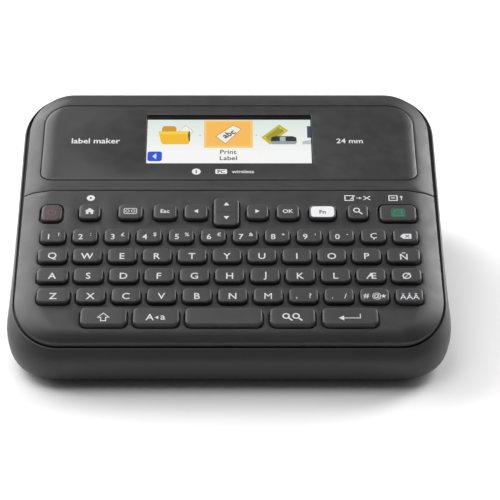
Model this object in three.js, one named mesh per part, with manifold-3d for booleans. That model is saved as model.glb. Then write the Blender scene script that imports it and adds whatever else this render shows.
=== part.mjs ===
// Desktop label maker: a sloping keyboard, a colour display behind it, and a hinged
// back over the tape bay (left) and the battery bay (right).
// Millimetres. +X is to the user's right, +Y away from the user, +Z up.
// The origin lies on the table under the middle of the case.
import * as THREE from "three";
import { mergeVertices } from "three/addons/utils/BufferGeometryUtils.js";
import Module from "manifold-3d";

// ---- Driving dimensions -------------------------------------------------------------

const WIDTH = 201;
const DEPTH = 192;
const WALL = 2.5;
const GAP = 0.3;                   // between pieces that touch
const FOOT_HEIGHT = 1.2;

// The rim is the slanted parting line between the case and the top shell.
const SLOPE = THREE.MathUtils.degToRad(20);
const RIM_FRONT_Z = 20.5;
const RIM_FRONT_SETBACK = 2;       // rim behind the foremost point of the case
const RIM_REAR_SETBACK = 31.4;     // rim in front of the rearmost point of the case
const RIM_SIDE_SETBACK = 2.5;
const RIM_CORNER = [22, 28.7];     // across, along the slope

// The top shell rises from the rim to a flat deck.
const DECK_RISE = 6;
const DECK_EDGE = { side: 15, front: 9, rear: 11 };
const DECK_WALL = 2.5;
const SEAM_U = 95.2;               // between the keyboard deck and the display housing

// Display, distances up the slope from the front rim.
const PANEL = { margin: 8.8, front: 102.4, rearMargin: 14, corner: [6, 12], wall: 1.8 };
const HOUSING_WALL = 4.2;
const SCREEN = { width: 79.8, frontMargin: 11.5, rearMargin: 6.6, corner: 1 };
const LCD = { overlap: 5, thickness: 5 };

// Keyboard, distances up the slope from the front rim.
const KEY_FIELD_MARGIN = 10.5;     // from the rim to the outermost key well, each side
const KEY_FIELD_DRAWN = 175;       // field width that the key places below are drawn for
const KEY = { gap: 0.5, proud: 2, shoulder: 0.4, taper: 1.1, corner: 2.6, flange: 0.4 };
const LOW_KEY = { names: ["key_power", "key_print"], gap: 1, proud: 1.1, taper: 0.8 };
const KEY_TRAVEL = 1.2;
const KEY_WEB = 1;                 // flange or web under the deck
const WELL_HEIGHT = 9.9;
const BOARD_WALL = 1.6;

// Character rows: the wells' near edge up the slope, the ends of the first well, the left end of
// the next one, the pitch and width from there on, the right end of the last one, and the count.
const LETTER_ROWS = [
  ["number_keys", 58.6, [-87.1, -74.7], -72.4, 14.73, 12.4, 87.3, 12],
  ["upper_letter_keys", 45.9, [-87.5, -73.4], -71.6, 15.9, 14.1, 87.5, 11],
  ["middle_letter_keys", 33.4, [-87.3, -72.2], -70.6, 15.95, 14.2, 87.4, 11],
  ["lower_letter_keys", 20.8, [-86.6, -70.8], -69, 15.9, 14, 87.4, 11],
];
// Each key: name, middle across, well width, well height.
const FUNCTION_U = 79.3;           // middle of the function row
const FUNCTION_KEYS = [
  ["key_power", -82.4, 11.4, 12.8],
  ["key_home", -64.7, 10.8, 10.8],
  ["key_templates", -45.8, 12.1, 10.8],
  ["key_escape", -29.7, 11.7, 10.8],
  ["key_left", -15.3, 11.7, 10.8],
  ["key_up_down", -1.2, 12.8, 19.3],
  ["key_right", 13.2, 11.1, 10.8],
  ["key_ok", 27.4, 11.4, 10.8],
  ["key_function", 43.4, 13.3, 10.8],
  ["key_search", 59.9, 10.4, 10.8],
  ["key_print", 78.5, 18.9, 12.8],
];
const BOTTOM_U = 12.9;
const BOTTOM_KEYS = [
  ["key_shift", -55.7, 21.7, 11.5],
  ["key_accent", -32.4, 21.5, 11.5],
  ["key_space", -2.3, 35.3, 11.5],
  ["key_preview", 28.2, 21.1, 11.5],
  ["key_enter", 53.8, 25.8, 11.5],
];

// Rear cover: its seam plane leans forward from the hinge to the rear rim.
const HINGE = { setback: 11, z: 5, clearance: 4.2, ear: 2.6, pin: 1.2, hole: 1.5 };
const HINGE_EARS = { middle: 60, spacing: 9, thickness: 3 };
const WINDOW = { middle: -44, width: 46, bottom: 30, height: 24, corner: 4 };
const LATCH = { width: 24, height: 7, proud: 1.2, depth: 3.4, travel: 2.5 };

// Tape bay, measured from the left inner wall and the rear of the case.
const TAPE = { width: 24, exit: 3.2, wall: 4 };
const CASSETTE = { width: 80, depth: 32, bottom: 8, height: 54, wall: 1.6, setback: 22, inset: 13 };
const HEAD_NOTCH = { room: 5.3, below: 12, above: 12 };
const FRAME = { wall: 2, inset: 4, bottom: 9, tab: 16 };
const TOOTH = { module: 0.8, face: 4, share: 0.4, flank: 0.11, addendum: 0.8, dedendum: 1.15 };
const TEETH = { pinion: 12, idler: 30, platen: 18, feed: 14 };
const SHAFT_R = 1.5;
const PLATEN = { r: 4.5, overTape: 0.5 };
const FEED = { r: 3.2, overTape: 0.3 };
const GEAR_ROOM = { wall: 3.1, floor: 4.6, tips: 0.4 };
const CUTTER = { fromWall: 5, wall: 0.8, height: 10, lift: 6 };
const MOTOR = { r: 10, length: 22 };
const SPOOL_R = 20;
const RIBBON_R = 7;

// Battery bay, measured from the right inner wall.
const CELL = { r: 7.1, length: 48, nub: 2, nubR: 2.7, pitch: 14.4, count: 6 };
const HOLDER = { wall: 2, inset: 7.9, bottom: 7.4, contact: 1.2, setback: 38 };

// Ports in the right wall.
const PORTS = { z: 20, dc: 14, usb: 30, dcR: 4.2, usbWidth: 7.7, usbHeight: 3.9 };

// ---- Values worked out from the driving dimensions ------------------------------------

const HALF = WIDTH / 2;
const FRONT = -DEPTH / 2;
const REAR = DEPTH / 2;
const FLOOR = FOOT_HEIGHT + GAP;
const RIM_FRONT = FRONT + RIM_FRONT_SETBACK;
const RIM_REAR = REAR - RIM_REAR_SETBACK;
const RIM_LENGTH = (RIM_REAR - RIM_FRONT) / Math.cos(SLOPE);
const RIM_REAR_Z = RIM_FRONT_Z + RIM_LENGTH * Math.sin(SLOPE);
const RIM_HALF = HALF - RIM_SIDE_SETBACK;
const LEFT_WALL = -HALF + WALL;
const RIGHT_WALL = HALF - WALL;
const HINGE_Y = REAR - HINGE.setback;
const COVER_LEAN = Math.atan2(HINGE_Y - RIM_REAR + WALL, RIM_REAR_Z - HINGE.z);
const UNDERSIDE = DECK_RISE - DECK_WALL;
const FLANGE_TOP = UNDERSIDE - GAP;
const FLANGE_BOTTOM = FLANGE_TOP - KEY_WEB;
const BOARD_TOP = FLANGE_BOTTOM - KEY_TRAVEL - GAP;
const FIELD_SCALE = 2 * (RIM_HALF - KEY_FIELD_MARGIN) / KEY_FIELD_DRAWN;
const PANEL_REAR = RIM_LENGTH - PANEL.rearMargin;
const SCREEN_FRONT = PANEL.front + SCREEN.frontMargin;
const SCREEN_REAR = PANEL_REAR - SCREEN.rearMargin;
const CASSETTE_FRONT = REAR - CASSETTE.setback - CASSETTE.depth;
const TAPE_Y = [CASSETTE_FRONT + TAPE.wall, CASSETTE_FRONT + TAPE.wall + TAPE.width];

// The gears set the height of the tape: the idler stands in the case's lower left corner, and
// the platen and feed rollers stand side by side where their gears mesh with it.
const pitchR = (teeth) => TOOTH.module * teeth / 2;
const tipR = (teeth) => pitchR(teeth) + TOOTH.addendum * TOOTH.module;
const meshing = (a, b) => pitchR(a) + pitchR(b);

function gearPlaces() {
  const apart = tipR(TEETH.platen) + tipR(TEETH.feed) + GEAR_ROOM.tips;
  const overTape = [PLATEN.r + PLATEN.overTape, FEED.r + FEED.overTape];
  const step = new THREE.Vector2(0, overTape[1] - overTape[0]);
  step.x = -Math.sqrt(apart ** 2 - step.y ** 2);
  const toPlaten = meshing(TEETH.idler, TEETH.platen);
  const toFeed = meshing(TEETH.idler, TEETH.feed);
  const along = (toPlaten ** 2 - toFeed ** 2 + apart ** 2) / (2 * apart);
  const below = Math.sqrt(toPlaten ** 2 - along ** 2);
  const unit = step.clone().normalize();
  const idler = {
    x: LEFT_WALL + GEAR_ROOM.wall + tipR(TEETH.idler),
    z: FLOOR + WALL + GEAR_ROOM.floor + tipR(TEETH.idler),
  };
  const platen = {
    x: idler.x - along * unit.x + below * unit.y,
    z: idler.z - along * unit.y - below * unit.x,
  };
  const feed = { x: platen.x + step.x, z: platen.z + step.y };
  return { idler, platen, feed, tapeZ: platen.z - overTape[0] };
}
const { idler, platen, feed, tapeZ: TAPE_Z } = gearPlaces();

// ---- Solids: three.js geometry joined and cut ------------------------------------------

const wasm = await Module();
wasm.setup();

function solid(geometry) {
  const bare = geometry.clone();
  bare.deleteAttribute("normal");
  bare.deleteAttribute("uv");
  const merged = mergeVertices(bare, 1e-4);
  const vertProperties = Float32Array.from(merged.attributes.position.array);
  const triVerts = Uint32Array.from(merged.index.array);
  return new wasm.Manifold(new wasm.Mesh({ numProp: 3, vertProperties, triVerts }));
}

function surface(manifold) {
  const mesh = manifold.getMesh();
  const geometry = new THREE.BufferGeometry();
  geometry.setAttribute("position", new THREE.BufferAttribute(mesh.vertProperties, 3));
  geometry.setIndex(new THREE.BufferAttribute(mesh.triVerts, 1));
  return geometry;
}

function union(...pieces) {
  return pieces.reduce((all, piece) => all.add(piece));
}

function box(x, y, z) {
  const geometry = new THREE.BoxGeometry(x[1] - x[0], y[1] - y[0], z[1] - z[0]);
  geometry.translate((x[0] + x[1]) / 2, (y[0] + y[1]) / 2, (z[0] + z[1]) / 2);
  return solid(geometry);
}

// A round bar along Y, X or Z between two stations.
function barY(r, y, x, z, sides = 16) {
  const geometry = new THREE.CylinderGeometry(r, r, y[1] - y[0], sides);
  return solid(geometry.translate(x, (y[0] + y[1]) / 2, z));
}

function barX(r, x, y, z, sides = 16) {
  const geometry = new THREE.CylinderGeometry(r, r, x[1] - x[0], sides).rotateZ(Math.PI / 2);
  return solid(geometry.translate((x[0] + x[1]) / 2, y, z));
}

function barZ(r, z, x, y, sides = 16) {
  const geometry = new THREE.CylinderGeometry(r, r, z[1] - z[0], sides).rotateX(Math.PI / 2);
  return solid(geometry.translate(x, y, (z[0] + z[1]) / 2));
}

// Points of a rounded rectangle, anticlockwise from its front right corner.
function roundedOutline(x, y, frontCorner, rearCorner, steps) {
  const corners = [
    { cx: x[1] - frontCorner[0], cy: y[0] + frontCorner[1], r: frontCorner, turn: -90 },
    { cx: x[1] - rearCorner[0], cy: y[1] - rearCorner[1], r: rearCorner, turn: 0 },
    { cx: x[0] + rearCorner[0], cy: y[1] - rearCorner[1], r: rearCorner, turn: 90 },
    { cx: x[0] + frontCorner[0], cy: y[0] + frontCorner[1], r: frontCorner, turn: 180 },
  ];
  const points = [];
  for (const { cx, cy, r, turn } of corners) {
    for (let k = 0; k <= steps; k += 1) {
      const angle = THREE.MathUtils.degToRad(turn + 90 * k / steps);
      points.push([cx + r[0] * Math.cos(angle), cy + r[1] * Math.sin(angle)]);
    }
  }
  return points;
}

// A closed skin over rings of points with equal counts, lowest ring first, flat at both ends.
function skin(rings) {
  const count = rings[0].length;
  const index = [];
  for (let ring = 0; ring + 1 < rings.length; ring += 1) {
    for (let k = 0; k < count; k += 1) {
      const a = ring * count + k;
      const b = ring * count + (k + 1) % count;
      index.push(a, b, b + count, a, b + count, a + count);
    }
  }
  const flat = rings[0].map(([x, y]) => new THREE.Vector2(x, y));
  const lid = (rings.length - 1) * count;
  for (const [a, b, c] of THREE.ShapeUtils.triangulateShape(flat, [])) {
    index.push(c, b, a);
    index.push(lid + a, lid + b, lid + c);
  }
  const geometry = new THREE.BufferGeometry();
  geometry.setAttribute("position", new THREE.Float32BufferAttribute(rings.flat(2), 3));
  geometry.setIndex(index);
  return geometry;
}

function loft(rings) {
  return solid(skin(rings));
}

// A straight prism over a rounded rectangle.
function prism(x, y, z, corner, steps = 2, rearCorner = corner) {
  const outline = roundedOutline(x, y, corner, rearCorner, steps);
  return loft(z.map((height) => outline.map(([px, py]) => [px, py, height])));
}

// ---- The parts, gathered as named meshes -----------------------------------------------

const labelMaker = new THREE.Group();
// The deck group's axes are across, up the slope (u) and square to the deck (w).
const deck = new THREE.Group();
deck.position.set(0, RIM_FRONT, RIM_FRONT_Z);
deck.rotation.x = SLOPE;
labelMaker.add(deck);

const FINISH = {
  case: { color: 0x2b2a2c, roughness: 0.55 },
  keys: { color: 0x232325, roughness: 0.6 },
  whiteKey: { color: 0xd9dade, roughness: 0.5 },
  panel: { color: 0x1a1a1d, roughness: 0.25 },
  screen: { color: 0xc9d2cf, roughness: 0.3 },
  clear: { color: 0x8fa0a8, roughness: 0.1, transparent: true, opacity: 0.35 },
  rubber: { color: 0x161616, roughness: 0.9 },
  frame: { color: 0x4a4c50, roughness: 0.6 },
  gear: { color: 0xe4e2da, roughness: 0.5 },
  steel: { color: 0xb9bcc0, roughness: 0.3, metalness: 1 },
  board: { color: 0x1f5a36, roughness: 0.5 },
  cassette: { color: 0x8d9094, roughness: 0.5 },
  tape: { color: 0xefeee8, roughness: 0.7 },
  cell: { color: 0xb98a3a, roughness: 0.35, metalness: 0.4 },
};
const materials = {};
for (const [name, values] of Object.entries(FINISH)) {
  materials[name] = new THREE.MeshStandardMaterial(values);
}

function addPart(name, manifold, finish, parent = labelMaker) {
  const mesh = new THREE.Mesh(surface(manifold), materials[finish]);
  mesh.name = name;
  parent.add(mesh);
  return mesh;
}

// ---- Case: rings from the floor up to the slanted rim ----------------------------------

// Side-view curves from the floor to the rim, as offsets from the widest points.
const frontCurve = new THREE.SplineCurve([
  new THREE.Vector2(FRONT + 12, FLOOR),
  new THREE.Vector2(FRONT + 4.5, FLOOR + 2.2),
  new THREE.Vector2(FRONT + 0.8, FLOOR + 7),
  new THREE.Vector2(FRONT, FLOOR + 13),
  new THREE.Vector2(RIM_FRONT, RIM_FRONT_Z),
]);
const rearCurve = new THREE.SplineCurve([
  new THREE.Vector2(REAR - 12, FLOOR),
  new THREE.Vector2(REAR - 3.2, FLOOR + 8),
  new THREE.Vector2(REAR, FLOOR + 27),
  new THREE.Vector2(REAR - 7, RIM_REAR_Z - 26),
  new THREE.Vector2(RIM_REAR, RIM_REAR_Z),
]);
const sideCurve = new THREE.SplineCurve([
  new THREE.Vector2(HALF - 12, 0),
  new THREE.Vector2(HALF - 3.4, 1),
  new THREE.Vector2(HALF - 0.6, 2),
  new THREE.Vector2(HALF, 3),
  new THREE.Vector2(RIM_HALF, 4),
]);
const CASE_RINGS = 9;
const CORNER_STEPS = 5;

function caseRing(t, inset) {
  const front = frontCurve.getPoint(t);
  const rear = rearCurve.getPoint(t);
  const half = sideCurve.getPoint(t).x - inset;
  const y = [front.x + inset, rear.x - inset];
  const narrower = RIM_HALF - half;
  const corner = [RIM_CORNER[0] - narrower, RIM_CORNER[1] * Math.cos(SLOPE) - narrower];
  const lift = t === 0 ? inset : 0;
  const tilt = (rear.y - front.y) / (rear.x - front.x);
  const heightAt = (py) => front.y + lift + tilt * (py - front.x);
  const outline = roundedOutline([-half, half], y, corner, corner, CORNER_STEPS);
  return outline.map(([px, py]) => [px, py, heightAt(py)]);
}

function caseSolid(inset, above) {
  const rings = [];
  for (let k = 0; k < CASE_RINGS; k += 1) {
    rings.push(caseRing(k / (CASE_RINGS - 1), inset));
  }
  if (above > 0) {
    rings.push(rings[CASE_RINGS - 1].map(([x, y, z]) => [x, y, z + above]));
  }
  return loft(rings);
}

const caseOuter = caseSolid(0, 0);
const caseInner = caseSolid(WALL, 10);
const caseShell = caseOuter.subtract(caseInner);

// Everything behind the seam plane, which leans forward from the hinge line.
function behindSeam(offset) {
  const far = 2 * DEPTH;
  const block = new THREE.BoxGeometry(2 * WIDTH, far, far).translate(0, far / 2 + offset, 0);
  return solid(block.rotateX(COVER_LEAN).translate(0, HINGE_Y, HINGE.z));
}

function eachSide(make) {
  return [make(-1), make(1)];
}

function hingeEars(side) {
  return [-1, 1].map((step) => {
    const middle = side * HINGE_EARS.middle + step * HINGE_EARS.spacing / 2;
    const x = [middle - HINGE_EARS.thickness / 2, middle + HINGE_EARS.thickness / 2];
    const root = box(x, [HINGE_Y - 10, HINGE_Y], [FLOOR + WALL - 0.5, HINGE.z + HINGE.ear]);
    return root.add(barX(HINGE.ear, x, HINGE_Y, HINGE.z));
  });
}

const exitY = [TAPE_Y[0] - 1, TAPE_Y[1] + 1];
const exitZ = [TAPE_Z - TAPE.exit / 2, TAPE_Z + TAPE.exit / 2];
const labelSlot = box([-HALF - 1, LEFT_WALL + 1.5], exitY, exitZ);
const dcHole = barX(PORTS.dcR, [RIGHT_WALL - 3, HALF + 1], PORTS.dc, PORTS.z, 20);
const usbHole = box(
  [RIGHT_WALL - 3, HALF + 1],
  [PORTS.usb - PORTS.usbWidth / 2 - 1, PORTS.usb + PORTS.usbWidth / 2 + 1],
  [PORTS.z - PORTS.usbHeight / 2 - 1, PORTS.z + PORTS.usbHeight / 2 + 1],
);
const hingeBore = barX(HINGE.hole, [-HALF, HALF], HINGE_Y, HINGE.z);
const hingeRoom = barX(HINGE.clearance, [-HALF - 1, HALF + 1], HINGE_Y, HINGE.z, 24);
let bottomCase = caseShell.subtract(behindSeam(-GAP / 2)).subtract(hingeRoom);
bottomCase = union(bottomCase, ...eachSide(hingeEars).flat()).subtract(hingeBore);
for (const cut of [labelSlot, dcHole, usbHole]) {
  bottomCase = bottomCase.subtract(cut);
}
addPart("bottom_case", bottomCase, "case");

// ---- Rear cover with its window and latch ----------------------------------------------

const coverShell = caseShell.intersect(behindSeam(GAP / 2));
const belowHinge = box([-WIDTH, WIDTH], [0, DEPTH], [-1, HINGE.z - 1.6]);
function windowPrism(grow) {
  const x = [WINDOW.middle - WINDOW.width / 2 - grow, WINDOW.middle + WINDOW.width / 2 + grow];
  const z = [WINDOW.bottom - grow, WINDOW.bottom + WINDOW.height + grow];
  const corner = [WINDOW.corner + grow, WINDOW.corner + grow];
  const outline = roundedOutline(x, z, corner, corner, 3);
  const rings = [-REAR - 5, 30 - REAR].map((height) => outline.map(([px, pz]) => [px, pz, height]));
  return solid(skin(rings).rotateX(Math.PI / 2));
}

// The latch lies on the sloping shoulder at the top of the cover, in its own tilted frame.
const shoulder = rearCurve.getPoint(0.9);
const shoulderAlong = rearCurve.getTangent(0.9);
const latchTilt = Math.atan2(shoulderAlong.y, shoulderAlong.x);
function latchBlock(halfWidth, along, out) {
  const size = [2 * halfWidth, along[1] - along[0], out[1] - out[0]];
  const block = new THREE.BoxGeometry(...size);
  block.translate(0, (along[0] + along[1]) / 2, -(out[0] + out[1]) / 2);
  return solid(block.rotateX(latchTilt).translate(0, shoulder.x, shoulder.y));
}
const latchAlong = [-LATCH.height / 2, LATCH.height / 2];
const latchSlotAlong = [latchAlong[0] - GAP - LATCH.travel, latchAlong[1] + GAP];
const latchSlot = latchBlock(LATCH.width / 2 + GAP, latchSlotAlong, [-8, 8]);
const latchBody = latchBlock(LATCH.width / 2, latchAlong, [LATCH.proud - LATCH.depth, LATCH.proud]);

function hingeTab(side) {
  const middle = side * HINGE_EARS.middle;
  const reach = HINGE_EARS.spacing / 2 - HINGE_EARS.thickness / 2 - GAP;
  const x = [middle - reach, middle + reach];
  const tab = box(x, [HINGE_Y - 1.2, HINGE_Y + 4], [HINGE.z - 1.2, HINGE.z + 1.5]);
  const pinReach = HINGE_EARS.spacing / 2 + HINGE_EARS.thickness / 2;
  const pin = barX(HINGE.pin, [middle - pinReach, middle + pinReach], HINGE_Y, HINGE.z);
  return tab.add(pin);
}

function earRoom(side) {
  return [-1, 1].map((step) => {
    const middle = side * HINGE_EARS.middle + step * HINGE_EARS.spacing / 2;
    const reach = HINGE_EARS.thickness / 2 + GAP;
    return barX(HINGE.ear + 0.6, [middle - reach, middle + reach], HINGE_Y, HINGE.z, 20);
  });
}

let rearCover = coverShell.subtract(belowHinge);
for (const room of eachSide(earRoom).flat()) {
  rearCover = rearCover.subtract(room);
}
rearCover = union(rearCover, ...eachSide(hingeTab));
rearCover = rearCover.subtract(windowPrism(GAP)).subtract(latchSlot);
addPart("rear_cover", rearCover, "case");
addPart("cassette_window", coverShell.intersect(windowPrism(0)), "clear");
addPart("cover_latch", latchBody, "keys");

// ---- Feet --------------------------------------------------------------------------------

const FOOT = { r: 7, inset: 22, frontInset: 24, rearInset: 26 };
for (const [end, y] of [["front", FRONT + FOOT.frontInset], ["rear", REAR - FOOT.rearInset]]) {
  for (const [sideName, x] of [["left", FOOT.inset - HALF], ["right", HALF - FOOT.inset]]) {
    addPart(`foot_${end}_${sideName}`, barZ(FOOT.r, [0, FOOT_HEIGHT], x, y, 20), "rubber");
  }
}

// ---- Top shell: a pillow over the rim, in the deck's own axes ----------------------------

// The height rises from the rim to the flat as 1 - (1 - t)^1.9, t going in from the edge.
const PILLOW_STEPS = [0, 0.13, 0.3, 0.55, 1];
function pillow(inset, drop) {
  const rings = PILLOW_STEPS.map((t) => {
    const across = DECK_EDGE.side * t + inset;
    const front = DECK_EDGE.front * t + inset;
    const rear = DECK_EDGE.rear * t + inset;
    const height = DECK_RISE * (1 - (1 - t) ** 1.9) - drop;
    const outline = roundedOutline(
      [-RIM_HALF + across, RIM_HALF - across],
      [front, RIM_LENGTH - rear],
      [RIM_CORNER[0] - across, RIM_CORNER[1] - front],
      [RIM_CORNER[0] - across, RIM_CORNER[1] - rear],
      CORNER_STEPS,
    );
    return outline.map(([x, u]) => [x, u, height]);
  });
  const skirt = rings[0].map(([x, u]) => [x, u, -drop - 5]);
  return loft([skirt, ...rings]);
}

const everywhere = [-WIDTH, WIDTH];
const aboveRim = box(everywhere, [-DEPTH, 2 * DEPTH], [GAP, 50]);
const pillowOuter = pillow(0, 0).intersect(aboveRim);
const deckHalf = box(everywhere, [-DEPTH, SEAM_U - GAP / 2], [-50, 50]);
const displayHalf = box(everywhere, [SEAM_U + GAP / 2, 2 * DEPTH], [-50, 50]);

// ---- Keys and their wells ------------------------------------------------------------------

function letterWells([, u, first, next, pitch, width, last, count]) {
  const wells = [first];
  for (let k = 1; k < count; k += 1) {
    const left = next + (k - 1) * pitch;
    wells.push([left, k === count - 1 ? last : left + width]);
  }
  return wells.map((ends) => ({ x: ends.map((end) => end * FIELD_SCALE), u: [u, u + WELL_HEIGHT] }));
}

function singleWell([, middle, width, height], rowMiddle) {
  const across = [middle - width / 2, middle + width / 2];
  return {
    x: across.map((end) => end * FIELD_SCALE),
    u: [rowMiddle - height / 2, rowMiddle + height / 2],
  };
}

function wellPrism({ x, u }) {
  return prism(x, u, [UNDERSIDE - 4, DECK_RISE + 4], [KEY.corner + KEY.gap, KEY.corner + KEY.gap]);
}

// A key cap: straight sides up through the well, then drawn in towards its top.
function keyCap({ x, u }, { gap, proud, taper } = KEY, bottom = FLANGE_TOP - KEY_WEB / 2) {
  const rings = [
    [bottom, 0],
    [DECK_RISE + KEY.shoulder, 0],
    [DECK_RISE + proud, taper],
  ];
  return loft(rings.map(([height, drawnIn]) => {
    const inset = gap + drawnIn;
    const corner = [KEY.corner - drawnIn / 2, KEY.corner - drawnIn / 2];
    const across = [x[0] + inset, x[1] - inset];
    const along = [u[0] + inset, u[1] - inset];
    return roundedOutline(across, along, corner, corner, 2).map(([px, pu]) => [px, pu, height]);
  }));
}

function flange({ x, u }, grow) {
  return box([x[0] - grow, x[1] + grow], [u[0] - grow, u[1] + grow], [FLANGE_BOTTOM, FLANGE_TOP]);
}

const singleKeys = [
  ...FUNCTION_KEYS.map((key) => ({ name: key[0], well: singleWell(key, FUNCTION_U) })),
  ...BOTTOM_KEYS.map((key) => ({ name: key[0], well: singleWell(key, BOTTOM_U) })),
];
const letterRows = LETTER_ROWS.map((row) => ({ name: row[0], wells: letterWells(row) }));

// The underside is flat over the whole key field, which thins the deck a little at its edges.
const FIELD_HALF = RIM_HALF - KEY_FIELD_MARGIN;
const fieldU = [BOTTOM_U - 6.6, FUNCTION_U + 10.6];
const FIELD_CORNER = [14, 13];
const SQUARE_CORNER = [1, 1];
const roomX = [-FIELD_HALF - 1.6, FIELD_HALF + 1.6];
const keyRoom = prism(roomX, fieldU, [-DECK_RISE, UNDERSIDE], FIELD_CORNER, 4, SQUARE_CORNER);
let keyboardDeck = pillowOuter.subtract(pillow(DECK_WALL, DECK_WALL)).subtract(keyRoom).intersect(deckHalf);
const allWells = [...singleKeys.map((key) => key.well), ...letterRows.flatMap((row) => row.wells)];
for (const well of allWells) {
  keyboardDeck = keyboardDeck.subtract(wellPrism(well));
}
addPart("keyboard_deck", keyboardDeck, "case", deck);

// The up and down key rocks inside its well, so it has no flange under the deck. The power and
// print keys sit lower, in a wider gap, so that they aren't pressed by accident.
for (const { name, well } of singleKeys) {
  const finish = name === "key_function" ? "whiteKey" : "keys";
  const shape = LOW_KEY.names.includes(name) ? LOW_KEY : KEY;
  const rocker = name === "key_up_down";
  const key = rocker ? keyCap(well, KEY, FLANGE_BOTTOM) : keyCap(well, shape).add(flange(well, KEY.flange));
  addPart(name, key, finish, deck);
}
for (const { name, wells } of letterRows) {
  const web = flange({ x: [wells[0].x[0], wells[wells.length - 1].x[1]], u: wells[0].u }, 0);
  addPart(name, union(web, ...wells.map((well) => keyCap(well))), "keys", deck);
}

const boardX = [-FIELD_HALF - 1, FIELD_HALF + 1];
const boardW = [BOARD_TOP - BOARD_WALL, BOARD_TOP];
const contactBoard = prism(boardX, fieldU, boardW, FIELD_CORNER, 4, SQUARE_CORNER);
addPart("key_contact_board", contactBoard, "board", deck);

// ---- Display housing, lens panel and display ------------------------------------------------

function panelPrism(grow) {
  const x = [-RIM_HALF + PANEL.margin - grow, RIM_HALF - PANEL.margin + grow];
  const u = [PANEL.front - grow, PANEL_REAR + grow];
  const [frontCorner, rearCorner] = PANEL.corner.map((r) => [r + grow, r + grow]);
  const outline = roundedOutline(x, u, frontCorner, rearCorner, 4);
  return loft([-30, 30].map((height) => outline.map(([px, pu]) => [px, pu, height])));
}

function screenPrism(grow) {
  const x = [-SCREEN.width / 2 - grow, SCREEN.width / 2 + grow];
  return box(x, [SCREEN_FRONT - grow, SCREEN_REAR + grow], [-30, 30]);
}

const recess = panelPrism(GAP).subtract(pillow(0, PANEL.wall + GAP));
const housing = pillowOuter.subtract(pillow(HOUSING_WALL, HOUSING_WALL)).intersect(displayHalf);
addPart("display_housing", housing.subtract(recess).subtract(screenPrism(1)), "case", deck);
const lens = pillow(0, 0).subtract(pillow(0, PANEL.wall)).intersect(panelPrism(0));
addPart("display_panel", lens.subtract(screenPrism(0)), "panel", deck);

// The display block stands up through the housing's window to just under the lens face.
const lcdTop = DECK_RISE - HOUSING_WALL - GAP;
const lcdBlock = box(
  [-SCREEN.width / 2 - LCD.overlap, SCREEN.width / 2 + LCD.overlap],
  [SCREEN_FRONT - LCD.overlap, SCREEN_REAR + LCD.overlap],
  [lcdTop - LCD.thickness, lcdTop],
);
const faceLayer = box(everywhere, [0, RIM_LENGTH], [lcdTop - 1, DECK_RISE - 0.5]);
const lcdFace = screenPrism(-GAP).intersect(faceLayer);
addPart("lcd_module", lcdBlock.add(lcdFace), "screen", deck);

// ---- Main board and ports ----------------------------------------------------------------------

const MAIN_BOARD = { half: 70, front: 30, rear: 104, lift: 4 };
const mainBoardZ = [FLOOR + WALL + MAIN_BOARD.lift, FLOOR + WALL + MAIN_BOARD.lift + BOARD_WALL];
const mainBoardY = [FRONT + MAIN_BOARD.front, FRONT + MAIN_BOARD.rear];
const mainBoard = box([-MAIN_BOARD.half, MAIN_BOARD.half], mainBoardY, mainBoardZ);
addPart("main_board", mainBoard, "board");

// The ports end just inside the wall, wherever it stands at their height.
const portBack = RIGHT_WALL - 13;
const portFace = RIGHT_WALL - 1.5;
const dcShell = box([portBack, portFace], [PORTS.dc - 4.5, PORTS.dc + 4.5], [PORTS.z - 5, PORTS.z + 5]);
const dcBore = barX(2.9, [portBack + 2, HALF], PORTS.dc, PORTS.z);
const dcPin = barX(1, [portBack + 1, portFace - 1], PORTS.dc, PORTS.z, 10);
addPart("dc_inlet", dcShell.subtract(dcBore).add(dcPin), "rubber");
const usbReach = [PORTS.usbWidth / 2, PORTS.usbHeight / 2];
const usbShell = box(
  [portBack + 4, portFace],
  [PORTS.usb - usbReach[0], PORTS.usb + usbReach[0]],
  [PORTS.z - usbReach[1], PORTS.z + usbReach[1]],
);
const usbBore = box(
  [portBack + 5, HALF],
  [PORTS.usb - usbReach[0] + 0.45, PORTS.usb + usbReach[0] - 0.45],
  [PORTS.z - usbReach[1] + 0.45, PORTS.z + usbReach[1] - 0.45],
);
addPart("usb_port", usbShell.subtract(usbBore), "steel");

// ---- Tape bay -------------------------------------------------------------------------------------

const cassetteX = [LEFT_WALL + CASSETTE.inset, LEFT_WALL + CASSETTE.inset + CASSETTE.width];
const cassetteY = [CASSETTE_FRONT, CASSETTE_FRONT + CASSETTE.depth];
const cassetteZ = [CASSETTE.bottom, CASSETTE.bottom + CASSETTE.height];
const frameY = [CASSETTE_FRONT - 2 - FRAME.wall, CASSETTE_FRONT - 2];
const gearY = [frameY[0] - 2 - TOOTH.face, frameY[0] - 2];

const PINION_ANGLE = THREE.MathUtils.degToRad(-8);
const pinionApart = meshing(TEETH.idler, TEETH.pinion);
const pinion = {
  x: idler.x + pinionApart * Math.cos(PINION_ANGLE),
  z: idler.z + pinionApart * Math.sin(PINION_ANGLE),
};

// Outline angle of one tooth of a gear that meshes with a neighbour whose tooth stands at `angle`.
function meshPhase(from, fromTeeth, fromPhase, to, toTeeth) {
  const direction = Math.atan2(to.z - from.z, to.x - from.x);
  const share = (direction - fromPhase) * fromTeeth / (2 * Math.PI);
  return direction + Math.PI - (0.5 - share) * 2 * Math.PI / toTeeth;
}

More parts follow.
